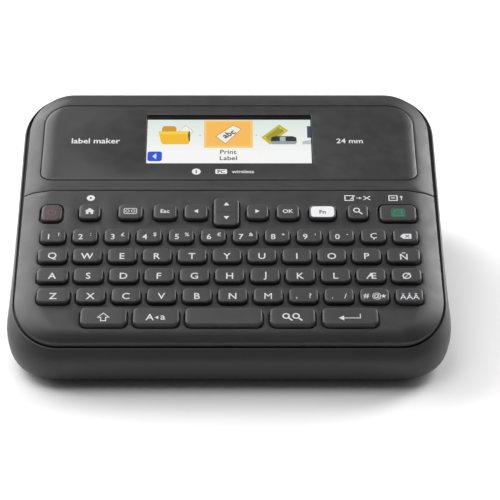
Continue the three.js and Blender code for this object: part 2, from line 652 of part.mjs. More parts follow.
function gear(place, teeth, phase, bore) {
  const shape = new THREE.Shape();
  const pitch = 2 * Math.PI / teeth;
  const root = pitchR(teeth) - TOOTH.dedendum * TOOTH.module;
  const tip = pitchR(teeth) + TOOTH.addendum * TOOTH.module;
  const foot = TOOTH.share / 2 + TOOTH.flank;
  const crest = TOOTH.share / 2 - TOOTH.flank;
  const tooth = [[-foot, root], [-crest, tip], [crest, tip], [foot, root]];
  const points = [];
  for (let k = 0; k < teeth; k += 1) {
    for (const [offset, r] of tooth) {
      const angle = phase + (k + offset) * pitch;
      points.push(new THREE.Vector2(place.x + r * Math.cos(angle), place.z + r * Math.sin(angle)));
    }
  }
  shape.setFromPoints(points);
  const hole = new THREE.Path().absarc(place.x, place.z, bore, 0, 2 * Math.PI, true);
  shape.holes.push(hole);
  const options = { depth: TOOTH.face, bevelEnabled: false, curveSegments: 8 };
  return solid(new THREE.ExtrudeGeometry(shape, options).rotateX(Math.PI / 2).translate(0, gearY[1], 0));
}

const platenPhase = 0;
const idlerPhase = meshPhase(platen, TEETH.platen, platenPhase, idler, TEETH.idler);
const feedPhase = meshPhase(idler, TEETH.idler, idlerPhase, feed, TEETH.feed);
const pinionPhase = meshPhase(idler, TEETH.idler, idlerPhase, pinion, TEETH.pinion);
const bore = SHAFT_R + GAP;
addPart("platen_gear", gear(platen, TEETH.platen, platenPhase, bore), "gear");
addPart("feed_gear", gear(feed, TEETH.feed, feedPhase, bore), "gear");
addPart("idler_gear", gear(idler, TEETH.idler, idlerPhase, bore), "gear");
addPart("motor_pinion", gear(pinion, TEETH.pinion, pinionPhase, bore), "steel");

function roller(place, r) {
  const shaft = barY(SHAFT_R, [gearY[0] - 1, TAPE_Y[1] + 2], place.x, place.z);
  return shaft.add(barY(r, TAPE_Y, place.x, place.z, 20));
}
addPart("platen_roller", roller(platen, PLATEN.r), "rubber");
addPart("feed_roller", roller(feed, FEED.r), "rubber");

const motorShaft = barY(SHAFT_R, [gearY[0] - 2, gearY[1]], pinion.x, pinion.z);
const motorBody = barY(MOTOR.r, [gearY[0] - 2 - MOTOR.length, gearY[0] - 2 + 0.01], pinion.x, pinion.z, 24);
addPart("drive_motor", motorBody.add(motorShaft), "steel");

// The frame: a plate in front of the cassette with the idler's stub, bearings and a top lip.
const headPivot = { x: platen.x + PLATEN.r + 0.8, z: TAPE_Z - 7.5 };
const leverPivot = { x: cassetteX[0] + 2, z: cassetteZ[1] + 3.6 };
const frameX = [LEFT_WALL + FRAME.inset, cassetteX[1] + 2];
const frameZ = [FRAME.bottom, cassetteZ[1]];
const framePlate = box(frameX, frameY, frameZ);
const frameTab = box([frameX[0], frameX[0] + FRAME.tab], frameY, [frameZ[0], leverPivot.z + 2]);
const frameEdge = box([frameX[1] - FRAME.wall + GAP, frameX[1] + GAP], [frameY[0], cassetteY[1] - 8], frameZ);
const idlerStub = barY(SHAFT_R, [gearY[0], frameY[0] + 1], idler.x, idler.z);
const headStub = barY(SHAFT_R, [frameY[0], TAPE_Y[1]], headPivot.x, headPivot.z);
const leverStub = barY(SHAFT_R, [frameY[0], frameY[1] + 8], leverPivot.x, leverPivot.z);
let tapeFrame = union(framePlate, frameTab, frameEdge, idlerStub, headStub, leverStub);
for (const place of [platen, feed]) {
  tapeFrame = tapeFrame.subtract(barY(bore, [frameY[0] - 1, frameY[1] + 1], place.x, place.z));
}
addPart("tape_frame", tapeFrame, "frame");

// Print head on its swinging arm, below the tape, and the lever that lets it down.
const armX = [cassetteX[0] + 2, headPivot.x];
const armZ = [headPivot.z - 2.2, headPivot.z + 2.2];
const armHub = barY(SHAFT_R + 1.8, [frameY[1] + GAP, TAPE_Y[1] - 1], headPivot.x, headPivot.z);
const headArm = box(armX, [frameY[1] + 1.5, TAPE_Y[1] - 1], armZ).add(armHub);
addPart("head_arm", headArm.subtract(barY(bore, [0, REAR], headPivot.x, headPivot.z)), "frame");
const headX = [platen.x - 5.5, platen.x + 2.5];
addPart("print_head", box(headX, TAPE_Y, [armZ[1] + GAP, TAPE_Z - 0.4]), "steel");
const leverY = [frameY[1] + GAP, frameY[1] + 7];
const leverHub = barY(SHAFT_R + 1.2, leverY, leverPivot.x, leverPivot.z);
const leverArm = box([leverPivot.x, leverPivot.x + 18], leverY, [leverPivot.z - 1.5, leverPivot.z + 1.5]);
const leverBore = barY(bore, [0, REAR], leverPivot.x, leverPivot.z);
addPart("release_lever", leverArm.add(leverHub).subtract(leverBore), "frame");

const cutterX = [LEFT_WALL + CUTTER.fromWall - CUTTER.wall, LEFT_WALL + CUTTER.fromWall];
const cutterZ = [TAPE_Z + CUTTER.lift, TAPE_Z + CUTTER.lift + CUTTER.height];
addPart("cutter_blade", box(cutterX, [TAPE_Y[0] - 1, TAPE_Y[1] + 1], cutterZ), "steel");

// Cassette: a hollow box with a notch for the head, spindle holes and a tape mouth.
const notchX = [cassetteX[0] - 1, platen.x + PLATEN.r + HEAD_NOTCH.room];
const notch = box(notchX, [0, REAR], [TAPE_Z - HEAD_NOTCH.below, TAPE_Z + HEAD_NOTCH.above]);
const cavityX = [notchX[1] + CASSETTE.wall, cassetteX[1] - CASSETTE.wall];
const cavityY = cassetteY.map((y, k) => y + (k === 0 ? CASSETTE.wall : -CASSETTE.wall));
const cavityZ = [cassetteZ[0] + CASSETTE.wall, cassetteZ[1] - CASSETTE.wall];
const spoolPlace = { x: cavityX[1] - SPOOL_R - 1.5, z: (cavityZ[0] + cavityZ[1]) / 2 };
const ribbonPlace = { x: cavityX[0] + RIBBON_R + 1.5, z: cavityZ[0] + RIBBON_R + 1.5 };
const mouth = box([cassetteX[0], cavityX[0] + 1], TAPE_Y, [TAPE_Z - 1, TAPE_Z + 1]);
let cassette = box(cassetteX, cassetteY, cassetteZ).subtract(notch).subtract(box(cavityX, cavityY, cavityZ));
cassette = cassette.subtract(mouth);
for (const place of [spoolPlace, ribbonPlace]) {
  cassette = cassette.subtract(barY(4, [0, REAR], place.x, place.z));
}
addPart("tape_cassette", cassette, "cassette");

function spool(place, r) {
  const y = [cavityY[0] + 1, cavityY[1] - 1];
  return barY(r, y, place.x, place.z, 28).subtract(barY(3, [0, REAR], place.x, place.z, 12));
}
addPart("tape_spool", spool(spoolPlace, SPOOL_R), "tape");
addPart("ribbon_spool", spool(ribbonPlace, RIBBON_R), "keys");

// ---- Battery bay -----------------------------------------------------------------------------------

const rowLength = (CELL.count - 1) * CELL.pitch + 2 * CELL.r;
const cellsRight = RIGHT_WALL - HOLDER.inset - HOLDER.wall - 1;
const cellsX = [cellsRight - rowLength, cellsRight];
const cellsY = REAR - HOLDER.setback;
const contactZ = HOLDER.bottom + HOLDER.wall + GAP;
const cellZ = [contactZ + HOLDER.contact + GAP, contactZ + HOLDER.contact + GAP + CELL.length];
const topContactZ = cellZ[1] + CELL.nub + GAP;
const insideX = [cellsX[0] - 1, cellsX[1] + 1];
const insideY = [cellsY - CELL.r - 1, cellsY + CELL.r + 5];
const insideZ = [contactZ - GAP, topContactZ + HOLDER.contact + GAP];
const holderOuter = box(
  [insideX[0] - HOLDER.wall, insideX[1] + HOLDER.wall],
  [insideY[0] - HOLDER.wall, cellsY + CELL.r],
  [HOLDER.bottom, insideZ[1] + HOLDER.wall],
);
addPart("battery_holder", holderOuter.subtract(box(insideX, insideY, insideZ)), "frame");
for (let k = 0; k < CELL.count; k += 1) {
  const x = cellsX[0] + CELL.r + k * CELL.pitch;
  const can = barZ(CELL.r, cellZ, x, cellsY, 20);
  const nub = barZ(CELL.nubR, [cellZ[1] - 1, cellZ[1] + CELL.nub], x, cellsY, 12);
  addPart(`battery_${k + 1}`, can.add(nub), "cell");
}
const contactY = [cellsY - CELL.r, cellsY + CELL.r - 1];
addPart("battery_contact_bottom", box(cellsX, contactY, [contactZ, contactZ + HOLDER.contact]), "steel");
addPart("battery_contact_top", box(cellsX, contactY, [topContactZ, topContactZ + HOLDER.contact]), "steel");

export default labelMaker;
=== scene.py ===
import math
import bpy
import numpy as np
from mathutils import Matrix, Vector
from mathutils.geometry import delaunay_2d_cdt


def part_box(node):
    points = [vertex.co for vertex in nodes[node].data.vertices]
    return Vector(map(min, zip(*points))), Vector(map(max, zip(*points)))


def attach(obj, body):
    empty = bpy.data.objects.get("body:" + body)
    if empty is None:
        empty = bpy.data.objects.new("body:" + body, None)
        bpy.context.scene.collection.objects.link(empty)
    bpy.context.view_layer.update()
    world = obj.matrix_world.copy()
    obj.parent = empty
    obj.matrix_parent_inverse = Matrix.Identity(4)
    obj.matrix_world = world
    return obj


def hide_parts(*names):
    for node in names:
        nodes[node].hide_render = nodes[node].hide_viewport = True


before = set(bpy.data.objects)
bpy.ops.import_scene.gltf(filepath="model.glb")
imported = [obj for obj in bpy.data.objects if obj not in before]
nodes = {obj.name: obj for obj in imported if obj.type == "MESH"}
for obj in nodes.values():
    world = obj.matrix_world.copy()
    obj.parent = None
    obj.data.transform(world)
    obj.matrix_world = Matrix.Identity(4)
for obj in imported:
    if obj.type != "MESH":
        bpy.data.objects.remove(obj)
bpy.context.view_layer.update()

# ---- Camera, floor and studio light ----------------------------------------------------
# A long lens looks down at the desk from in front. The floor is a plain white sweep; the
# light is a large softbox on the left, a smaller one on the right, one overhead and a dim room.

MM = 0.001
AIM = np.array([0.0, -10.0, 35.0])
CAMERA_AWAY = 1050.0
CAMERA_RAISED = math.radians(25)
FLOOR_HALF = 6000.0
ROOM_LIGHT = 0.13

camera_lens = bpy.data.cameras.new("desk_camera")
camera_lens.lens = 159.8
camera_lens.sensor_width = 36
camera_lens.shift_x = 0.042
camera_lens.shift_y = -0.022
camera = bpy.data.objects.new("desk_camera", camera_lens)
back = np.array([0, -math.cos(CAMERA_RAISED), math.sin(CAMERA_RAISED)])
camera.location = (AIM + CAMERA_AWAY * back) * MM
camera.rotation_euler = (math.pi / 2 - CAMERA_RAISED, 0, 0)
bpy.context.scene.collection.objects.link(camera)
bpy.context.scene.camera = camera
bpy.context.scene.view_settings.view_transform = "Standard"


def softbox(name, place, size, power):
    """A rectangular lamp at a place in millimetres that faces the desk's middle."""
    lamp = bpy.data.lights.new(name, "AREA")
    lamp.shape = "RECTANGLE"
    lamp.size, lamp.size_y = (side * MM for side in size)
    lamp.energy = power
    holder = bpy.data.objects.new(name, lamp)
    holder.location = np.array(place) * MM
    facing = Vector((AIM - np.array(place)) * MM)
    holder.rotation_euler = facing.to_track_quat("-Z", "Y").to_euler()
    bpy.context.scene.collection.objects.link(holder)


softbox("left_box", (-850, 600, 650), (1300, 1100), 21)
softbox("right_box", (800, 600, 550), (450, 900), 12)
softbox("top_box", (-350, -150, 1400), (1200, 900), 9)

room = bpy.data.worlds.new("room")
room.use_nodes = True
room_light = room.node_tree.nodes["Background"]
room_light.inputs["Color"].default_value = (1, 1, 1, 1)
room_light.inputs["Strength"].default_value = ROOM_LIGHT
bpy.context.scene.world = room


def feed(node, **sockets):
    """Sets a node's named inputs to values, or joins them to outputs."""
    for name, value in sockets.items():
        socket = node.inputs[name.replace("_", " ")]
        if isinstance(value, bpy.types.NodeSocket):
            node.id_data.links.new(value, socket)
        else:
            socket.default_value = value


def wire(tree, kind, **sockets):
    """A new shader node of that kind with its inputs fed."""
    made = tree.nodes.new("ShaderNode" + kind)
    feed(made, **sockets)
    return made


def new_finish(name):
    """An empty node material: its tree, its shader and its object coordinates."""
    made = bpy.data.materials.new(name)
    made.use_nodes = True
    tree = made.node_tree
    place = tree.nodes.new("ShaderNodeTexCoord").outputs["Object"]
    return made, tree, tree.nodes["Principled BSDF"], place


def spread(tree, value, low, high, dark, light):
    """Maps a value from its low-high range to dark-light, held at both ends."""
    return wire(tree, "MapRange", Value=value, From_Min=low, From_Max=high,
                To_Min=dark, To_Max=light).outputs["Result"]


def blend(tree, share, first, second):
    """A mix of two colours, or of a colour and an output."""
    mix = tree.nodes.new("ShaderNodeMix")
    mix.data_type = "RGBA"
    for socket, value in ((mix.inputs[0], share), (mix.inputs[6], first), (mix.inputs[7], second)):
        if isinstance(value, bpy.types.NodeSocket):
            tree.links.new(value, socket)
        else:
            socket.default_value = value if np.isscalar(value) else (*value, 1)
    return mix.outputs[2]


def noise(tree, place, size, detail=2.0):
    """Soft noise with features of about that many millimetres."""
    texture = wire(tree, "TexNoise", Vector=place, Scale=1 / (size * MM), Detail=detail)
    return texture.outputs["Fac"]


def mottle(tree, place, size, low=0.0, high=1.0):
    """Soft noise of that size, stretched from low to high."""
    return spread(tree, noise(tree, place, size), 0.3, 0.7, low, high)


def raise_bumps(tree, shader, height, relief):
    """Bumps that stand that many millimetres high at full height."""
    bump = wire(tree, "Bump", Height=height, Distance=relief * MM)
    feed(shader, Normal=bump.outputs["Normal"])


floor_paint, floor_tree, floor_shader, floor_place = new_finish("white_sweep")
floor_tone = mottle(floor_tree, floor_place, 400)
floor_colour = blend(floor_tree, floor_tone, (0.93, 0.93, 0.93), (0.95, 0.95, 0.95))
feed(floor_shader, Base_Color=floor_colour, Roughness=0.9)
floor_mesh = bpy.data.meshes.new("floor")
floor_corners = np.array([[-1, -1, 0], [1, -1, 0], [1, 1, 0], [-1, 1, 0]]) * FLOOR_HALF * MM
floor_mesh.from_pydata(floor_corners.tolist(), [], [[0, 1, 2, 3]])
floor_mesh.materials.append(floor_paint)
floor = bpy.data.objects.new("floor", floor_mesh)
bpy.context.scene.collection.objects.link(floor)

# ---- Bottom case -----------------------------------------------------------------------
# A deep tub of charcoal moulded plastic that bellies out below the slanted rim. It is one
# wall thick, open at the back, and screwed to the top shell from below.

SLOPE = math.radians(20)
RIM_FRONT_Y = -94.0
RIM_FRONT_Z = 20.5
RIM_HALF = 98.0
RIM_CORNER = (22.0, 28.7)
WALL = 2.5
RIM_ROUNDING = 0.3
BULGE = 0.13


def even_cuts(count):
    """Evenly spaced places along a side, as shares of its length."""
    return np.linspace(0.02, 0.98, count)


def node_box(node):
    """The two corners of a built piece's box, in millimetres."""
    return np.array(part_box(node)) / MM


case_low, case_high = node_box("bottom_case")
HALF = case_high[0] - BULGE
FRONT = case_low[1] + BULGE
FLOOR_Z = case_low[2]
REAR = node_box("rear_cover")[1][1]
RIM_REAR_Y = REAR - 31.4
RIM_LENGTH = (RIM_REAR_Y - RIM_FRONT_Y) / math.cos(SLOPE)
RIM_REAR_Z = RIM_FRONT_Z + RIM_LENGTH * math.sin(SLOPE)

FRONT_CURVE = [
    (FRONT + 12, FLOOR_Z), (FRONT + 4.5, FLOOR_Z + 2.2), (FRONT + 0.8, FLOOR_Z + 7),
    (FRONT, FLOOR_Z + 13), (RIM_FRONT_Y, RIM_FRONT_Z),
]
REAR_CURVE = [
    (REAR - 12, FLOOR_Z), (REAR - 3.2, FLOOR_Z + 8), (REAR - BULGE, FLOOR_Z + 27),
    (REAR - 7, RIM_REAR_Z - 26), (RIM_REAR_Y, RIM_REAR_Z),
]
BELLY_SHARE = 0.75
SHOULDER_SHARE = 0.88
FLARE = {"belly": 0.85, "rim": 0.45}
SIDE_CURVE = [(HALF - 12, 0), (HALF - 3.4, 1), (HALF - 0.6, 2), (HALF, 3), (RIM_HALF, 4)]


def along_curve(curve, share):
    """Catmull-Rom curve through the points: on each span a cubic whose end slopes are half
    the chord of the two neighbours, the end points standing in for missing ones."""
    points = np.array(curve, float)
    padded = np.vstack([points[:1], points, points[-1:]])
    place = np.clip(share, 0, 1) * (len(points) - 1)
    span = np.minimum(place.astype(int), len(points) - 2)
    s = (place - span)[:, None]
    before, first, second, after = (padded[span + k] for k in range(4))
    leave, arrive = (second - before) / 2, (after - first) / 2
    cubic = (2 * first - 2 * second + leave + arrive) * s**3
    square = (-3 * first + 3 * second - 2 * leave - arrive) * s**2
    return cubic + square + leave * s + first


def rounded_outline(x, y, front, rear, arc=12, side=(0.02, 0.12, 0.5, 0.88, 0.98)):
    """Rectangles with elliptical corners, anticlockwise from the front right corner: each
    corner is centre plus radius times (cosine, sine) over a quarter turn, and the sides are
    cut at the given shares of their length. Sizes may be arrays, one entry to a rectangle."""
    x0, x1, y0, y1, fx, fy, rx, ry = (
        np.atleast_1d(np.asarray(v, float))[:, None] for v in (*x, *y, *front, *rear)
    )
    turn = np.linspace(0, math.pi / 2, arc + 1)[None, :]
    corners = []
    for centre_x, centre_y, a, b, start in (
        (x1 - fx, y0 + fy, fx, fy, -1), (x1 - rx, y1 - ry, rx, ry, 0),
        (x0 + rx, y1 - ry, rx, ry, 1), (x0 + fx, y0 + fy, fx, fy, 2),
    ):
        angle = turn + start * math.pi / 2
        corners.append(np.stack(np.broadcast_arrays(
            centre_x + a * np.cos(angle), centre_y + b * np.sin(angle)), -1))
    cuts = np.array(side)[None, :, None]
    stretches = []
    for corner, following in zip(corners, corners[1:] + corners[:1]):
        stretches += [corner, corner[:, -1:] + cuts * (following[:, :1] - corner[:, -1:])]
    return np.concatenate(stretches, 1)


def case_rings(share, inset, flare=0.0):
    """Rings of the tub: ring t is a rounded rectangle through the side curves' points at t,
    lying in the plane through its foremost and rearmost points, drawn in by the inset. Above
    the belly its sides widen towards the back, by the flare's share of the belly's reach."""
    front, rear = along_curve(FRONT_CURVE, share), along_curve(REAR_CURVE, share)
    half = along_curve(SIDE_CURVE, share)[:, 0] - inset
    narrower = RIM_HALF - half
    radii = (RIM_CORNER[0] - narrower, RIM_CORNER[1] * math.cos(SLOPE) - narrower)
    y = (front[:, 0] + inset, rear[:, 0] - inset)
    outline = rounded_outline((-half, half), y, radii, radii, arc=14)
    widening = flare * np.where(share > BELLY_SHARE, HALF - half - inset, 0) / half
    back = np.clip((outline[..., 1] - RIM_FRONT_Y) / (RIM_REAR_Y - RIM_FRONT_Y), 0, 1)
    outline[..., 0] *= 1 + widening[:, None] * back**2 * (3 - 2 * back)
    tilt = ((rear[:, 1] - front[:, 1]) / (rear[:, 0] - front[:, 0]))[:, None]
    lift = np.where(share == 0, inset, 0)[:, None]
    height = front[:, 1:] + lift + tilt * (outline[..., 1] - front[:, :1])
    return np.concatenate([outline, height[..., None]], -1)


def skin(rings):
    """Quads between neighbouring rings and a flat face on the first and the last one."""
    index = np.arange(rings.shape[0] * rings.shape[1]).reshape(rings.shape[:2])
    near, far = index[:-1], index[1:]
    quads = np.stack([near, np.roll(near, -1, 1), np.roll(far, -1, 1), far], -1)
    lids = [index[0, ::-1].tolist(), index[-1].tolist()]
    return rings.reshape(-1, 3), quads.reshape(-1, 4).tolist() + lids


def gathered(parts):
    """Several (points, faces) pairs as one pair."""
    points, faces, start = [], [], 0
    for part_points, part_faces in parts:
        points.append(part_points)
        faces += [[start + k for k in face] for face in part_faces]
        start += len(part_points)
    return np.vstack(points), faces


def mesh_object(name, points, faces, smooth_to=34):
    """A mesh object from points in millimetres, smooth up to that many degrees."""
    mesh = bpy.data.meshes.new(name)
    mesh.from_pydata((np.asarray(points) * MM).tolist(), [], faces)
    made = bpy.data.objects.new(name, mesh)
    bpy.context.scene.collection.objects.link(made)
    mesh.shade_smooth()
    mesh.set_sharp_from_angle(angle=math.radians(smooth_to))
    return made


def fit(made, finish, body, slot, *stands_for):
    """Gives a finished piece its material and its body, and hides the nodes it stands for; the slot is not
    used.
    """
    made.data.materials.clear()
    made.data.materials.append(finish)
    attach(made, body)
    if stands_for:
        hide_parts(*stands_for)
    return made


def soften(made, width):
    """Rounds a piece's sharp edges to that many millimetres."""
    bevel = made.modifiers.new("soft_edges", "BEVEL")
    bevel.width = width * MM
    bevel.segments = 2
    bevel.limit_method = "ANGLE"
    bevel.angle_limit = math.radians(42)
    bevel.harden_normals = True
    bevel.use_clamp_overlap = True


def carve(made, cutters, operation="DIFFERENCE"):
    """Cuts closed solids out of a piece, or keeps only what lies inside them, for good."""
    for cutter in cutters:
        step = made.modifiers.new("carve", "BOOLEAN")
        step.object = cutter
        step.operation = operation
        step.solver = "EXACT"
    settled = bpy.context.evaluated_depsgraph_get()
    carved = bpy.data.meshes.new_from_object(made.evaluated_get(settled))
    made.modifiers.clear()
    made.data = carved
    for cutter in cutters:
        bpy.data.objects.remove(cutter)
    carved.shade_smooth()
    carved.set_sharp_from_angle(angle=math.radians(34))


AXES = {"x": [2, 0, 1], "y": [1, 2, 0], "z": [0, 1, 2]}


def prism(outline, ends, axis="z"):
    """A straight prism: the outline lies in the two axes that follow the given one."""
    rings = np.stack([np.column_stack([outline, np.full(len(outline), end)]) for end in ends])
    return skin(rings[..., AXES[axis]])


def rounded_block(a, b, c, corner, axis="z", arc=4):
    """A block with rounded corners round one axis."""
    outline = rounded_outline(a, b, (corner, corner), (corner, corner), arc, ())[0]
    return prism(outline, c, axis)


def on_circle(centre, r, angle):
    """Centre plus r times (cosine, sine) of each angle."""
    return np.column_stack([centre[0] + r * np.cos(angle), centre[1] + r * np.sin(angle)])


def disc(centre, r, sides=24):
    """A disc's outline, anticlockwise."""
    return on_circle(centre, r, np.arange(sides) * 2 * math.pi / sides)


def round_bar(r, centre, ends, axis="z", sides=32):
    """A round bar drawn out along the axis."""
    return prism(disc(centre, r, sides), ends, axis)


def cut_by_seam(name, points, faces, behind, offset):
    """The part of a closed shell in front of, or behind, the leaning seam plane: a large
    block on the plane's other side is cut away."""
    made = mesh_object(name, points, faces)
    facing = np.array([math.cos(COVER_LEAN), math.sin(COVER_LEAN)])
    along = np.array([-facing[1], facing[0]])
    on_plane = np.array([HINGE_Y, HINGE_Z]) + facing * offset
    away = facing * (-BEYOND if behind else BEYOND)
    low, high = on_plane - BEYOND * along, on_plane + BEYOND * along
    outline = np.array([low, low + away, high + away, high])
    if behind:
        outline = outline[::-1]
    carve(made, [mesh_object("cut", *prism(outline, (-BEYOND, BEYOND), "x"))])
    return made


def plastic(name, colour, roughness, grain=0.3, relief=0.02, worn=0.35):
    """Moulded plastic: a broad noise shifts the tone and the sheen by a few per cent, a fine
    one is the mould's spark texture, and proud edges carry a painted highlight, a little lighter."""
    made, tree, shader, place = new_finish(name)
    colour = np.array(colour)
    body_colour = blend(tree, mottle(tree, place, 24), colour * 0.93, colour * 1.07)
    # Painted highlight: convex edges, found by pointiness, are painted lighter, by up to the worn share,
    # towards 2.2 times the colour.
    geometry = tree.nodes.new("ShaderNodeNewGeometry")
    edge = spread(tree, geometry.outputs["Pointiness"], 0.53, 0.62, 0.0, worn)
    edge_highlight_colour = blend(tree, edge, body_colour, np.minimum(colour * 2.2 + 0.02, 0.9))
    feed(shader, Base_Color=edge_highlight_colour)
    sheen = mottle(tree, place, 6, roughness - 0.04, roughness + 0.04)
    feed(shader, Roughness=sheen)
    raise_bumps(tree, shader, noise(tree, place, grain, 3.0), relief)
    return made


charcoal = plastic("charcoal_plastic", (0.026, 0.0255, 0.0275), 0.46)

HINGE_Y = REAR - 11
HINGE_Z = 5.0
COVER_LEAN = math.atan2(HINGE_Y - RIM_REAR_Y + WALL, RIM_REAR_Z - HINGE_Z)
HINGE_ROOM = 4.2
SLOT_CORNER = 0.8
SHELL_ROUNDING = 0.25
SEAM_GAP = 0.3
BEYOND = 300.0
TAPE_SLOT = {"y": (45.0, 71.0), "z": (32.3, 35.5)}
DC_PORT = {"y": 14.0, "z": 20.0, "r": 4.2}
USB_PORT = {"y": 30.0, "z": 20.0, "half": (4.85, 2.95)}
GROOVE = {"inset": 0.6, "width": 0.8, "depth": 1.3}
EAR = {"middle": 60.0, "apart": 9.0, "thickness": 3.0, "r": 2.6}

outer_share = np.concatenate([np.linspace(0, 0.985, 44), [0.994, 1.0]])
outer_inset = np.concatenate([np.zeros(44), [0.3 * RIM_ROUNDING, RIM_ROUNDING]])
inner_share = np.linspace(1, 0, 30)
groove_inset = GROOVE["inset"] + GROOVE["width"] * np.array([0.0, 0.05, 0.95, 1.0])
groove_rings = case_rings(np.ones(4), groove_inset, FLARE["rim"] * np.array([1.0, 1.0, 0.0, 0.0]))
past_shoulder = np.clip((outer_share - SHOULDER_SHARE) / (1 - SHOULDER_SHARE), 0, 1) ** 2
flare = FLARE["belly"] + (FLARE["rim"] - FLARE["belly"]) * past_shoulder
sunk = np.array([0.0, 1.0, 1.0, 0.0])[:, None] * GROOVE["depth"]
groove_rings[..., 1] += sunk * math.sin(SLOPE)
groove_rings[..., 2] -= sunk * math.cos(SLOPE)
tub_rings = np.concatenate([
    case_rings(outer_share, outer_inset, flare), groove_rings,
    case_rings(inner_share, np.full(len(inner_share), WALL)),
])
tub_points, tub_faces = skin(tub_rings)
bottom_case = cut_by_seam("case_tub", tub_points, tub_faces, False, -SEAM_GAP / 2)
wall_reach = (HALF - 6, HALF + 3)
carve(bottom_case, [
    mesh_object("cut", *round_bar(HINGE_ROOM, (HINGE_Y, HINGE_Z), (-HALF - 3, HALF + 3), "x")),
    mesh_object("cut", *rounded_block(
        TAPE_SLOT["y"], TAPE_SLOT["z"], (-HALF - 3, 6 - HALF), SLOT_CORNER, "x")),
    mesh_object("cut", *round_bar(DC_PORT["r"], (DC_PORT["y"], DC_PORT["z"]), wall_reach, "x")),
    mesh_object("cut", *rounded_block(
        (USB_PORT["y"] - USB_PORT["half"][0], USB_PORT["y"] + USB_PORT["half"][0]),
        (USB_PORT["z"] - USB_PORT["half"][1], USB_PORT["z"] + USB_PORT["half"][1]),
        wall_reach, SLOT_CORNER, "x")),
])
soften(bottom_case, SHELL_ROUNDING)
fit(bottom_case, charcoal, "case", "case", "bottom_case")


def hinge_ear(middle):
    """A stem with a round end across the hinge line."""
    x = (middle - EAR["thickness"] / 2, middle + EAR["thickness"] / 2)
    nose = on_circle((HINGE_Y, HINGE_Z), EAR["r"], np.linspace(-math.pi / 2, math.pi / 2, 14))
    stem = np.array([[HINGE_Y - 10, HINGE_Z + EAR["r"]], [HINGE_Y - 10, FLOOR_Z + WALL - 0.6]])
    return prism(np.vstack([nose, stem]), x, "x")


ear_places = [side * EAR["middle"] + step * EAR["apart"] / 2
              for side in (-1, 1) for step in (-1, 1)]
ears = mesh_object("hinge_ears", *gathered([hinge_ear(middle) for middle in ear_places]))
soften(ears, 0.3)
fit(ears, charcoal, "case", "case")

# ---- Rear cover ------------------------------------------------------------------------
# The back of the case is a moulded lid that swings down on two pins. It carries a smoked
# window over the cassette, and its edge is the same thin shell as the tub.

PIN_R = 1.2
WINDOW = {"x": (-67.0, -21.0), "z": (30.0, 54.0), "corner": 4.0}
LATCH = {"half": 12.0, "along": 7.0, "proud": 1.2, "depth": 3.4, "travel": 2.5, "rib": 0.35}

rear_cover = cut_by_seam("rear_lid", tub_points, tub_faces, True, SEAM_GAP / 2)
latch_point = along_curve(REAR_CURVE, np.array([0.9]))[0]
latch_step = along_curve(REAR_CURVE, np.array([0.8999, 0.9001]))
latch_way = (latch_step[1] - latch_step[0]) / np.linalg.norm(latch_step[1] - latch_step[0])
latch_out = np.array([latch_way[1], -latch_way[0]])


def on_shoulder(points):
    """Places (across, up the shoulder, proud of it) points on the sloping shoulder."""
    up, out = points[:, 1:2], points[:, 2:3]
    yz = latch_point + up * latch_way + out * latch_out
    return np.column_stack([points[:, 0], yz])


def shoulder_block(half, along, out, corner):
    """A rounded block in the shoulder's own axes."""
    points, faces = rounded_block((-half, half), along, out, corner)
    return on_shoulder(points), faces


def window_block(grow, ends):
    """The window's rounded outline, in the axes z and x, drawn out along y."""
    z, x = ((low - grow, high + grow) for low, high in (WINDOW["z"], WINDOW["x"]))
    return rounded_block(z, x, ends, WINDOW["corner"] + grow, "y", arc=8)


latch_along = (-LATCH["along"] / 2, LATCH["along"] / 2)
slot_along = (latch_along[0] - SEAM_GAP - LATCH["travel"], latch_along[1] + SEAM_GAP)
below = [(-200.0, 200.0), (0.0, 200.0), (-20.0, HINGE_Z - 1.6)]
ear_half = EAR["thickness"] / 2 + SEAM_GAP
ear_rooms = [mesh_object("cut", *round_bar(
    EAR["r"] + 2 * SEAM_GAP, (HINGE_Y, HINGE_Z), (middle - ear_half, middle + ear_half), "x"))
    for middle in ear_places]
carve(rear_cover, [
    mesh_object("cut", *rounded_block(*below, 1.0)),
    mesh_object("cut", *window_block(SEAM_GAP, (REAR - 30, REAR + 5))),
    mesh_object("cut", *shoulder_block(LATCH["half"] + SEAM_GAP, slot_along, (-8, 8), SLOT_CORNER)),
    *ear_rooms,
])
soften(rear_cover, SHELL_ROUNDING)
fit(rear_cover, charcoal, "rear_cover", "case", "rear_cover")


def hinge_tab(side):
    """A short tongue and its pin between a pair of ears."""
    middle = side * EAR["middle"]
    reach = EAR["apart"] / 2 - EAR["thickness"] / 2 - SEAM_GAP
    tongue = rounded_block((HINGE_Y - PIN_R, HINGE_Y + 4), (HINGE_Z - PIN_R, HINGE_Z + 1.5),
                           (middle - reach, middle + reach), 0.6, "x")
    pin_reach = EAR["apart"] / 2 + EAR["thickness"] / 2
    pin = round_bar(PIN_R, (HINGE_Y, HINGE_Z), (middle - pin_reach, middle + pin_reach), "x", 20)
    return [tongue, pin]


tabs = mesh_object("hinge_pins", *gathered(hinge_tab(-1) + hinge_tab(1)))
fit(tabs, charcoal, "rear_cover", "case")

smoked, smoked_tree, smoked_shader, smoked_place = new_finish("smoked_window")
smoked_tone = mottle(smoked_tree, smoked_place, 9)
smoked_colour = blend(smoked_tree, smoked_tone, (0.16, 0.18, 0.19), (0.2, 0.22, 0.23))
feed(smoked_shader, Base_Color=smoked_colour)
smoked_sheen = mottle(smoked_tree, smoked_place, 3, 0.08, 0.16)
feed(smoked_shader, Roughness=smoked_sheen, Transmission_Weight=0.75, IOR=1.49)
window_pane = mesh_object("window_pane", tub_points, tub_faces)
carve(window_pane, [mesh_object("cut", *window_block(0, (REAR - 30, REAR + 5)))], "INTERSECT")
soften(window_pane, 0.2)
fit(window_pane, smoked, "rear_cover", "clear", "cassette_window")

satin_black = plastic("satin_black_keys", (0.034, 0.034, 0.036), 0.46, grain=0.2, relief=0.008, worn=0.5)


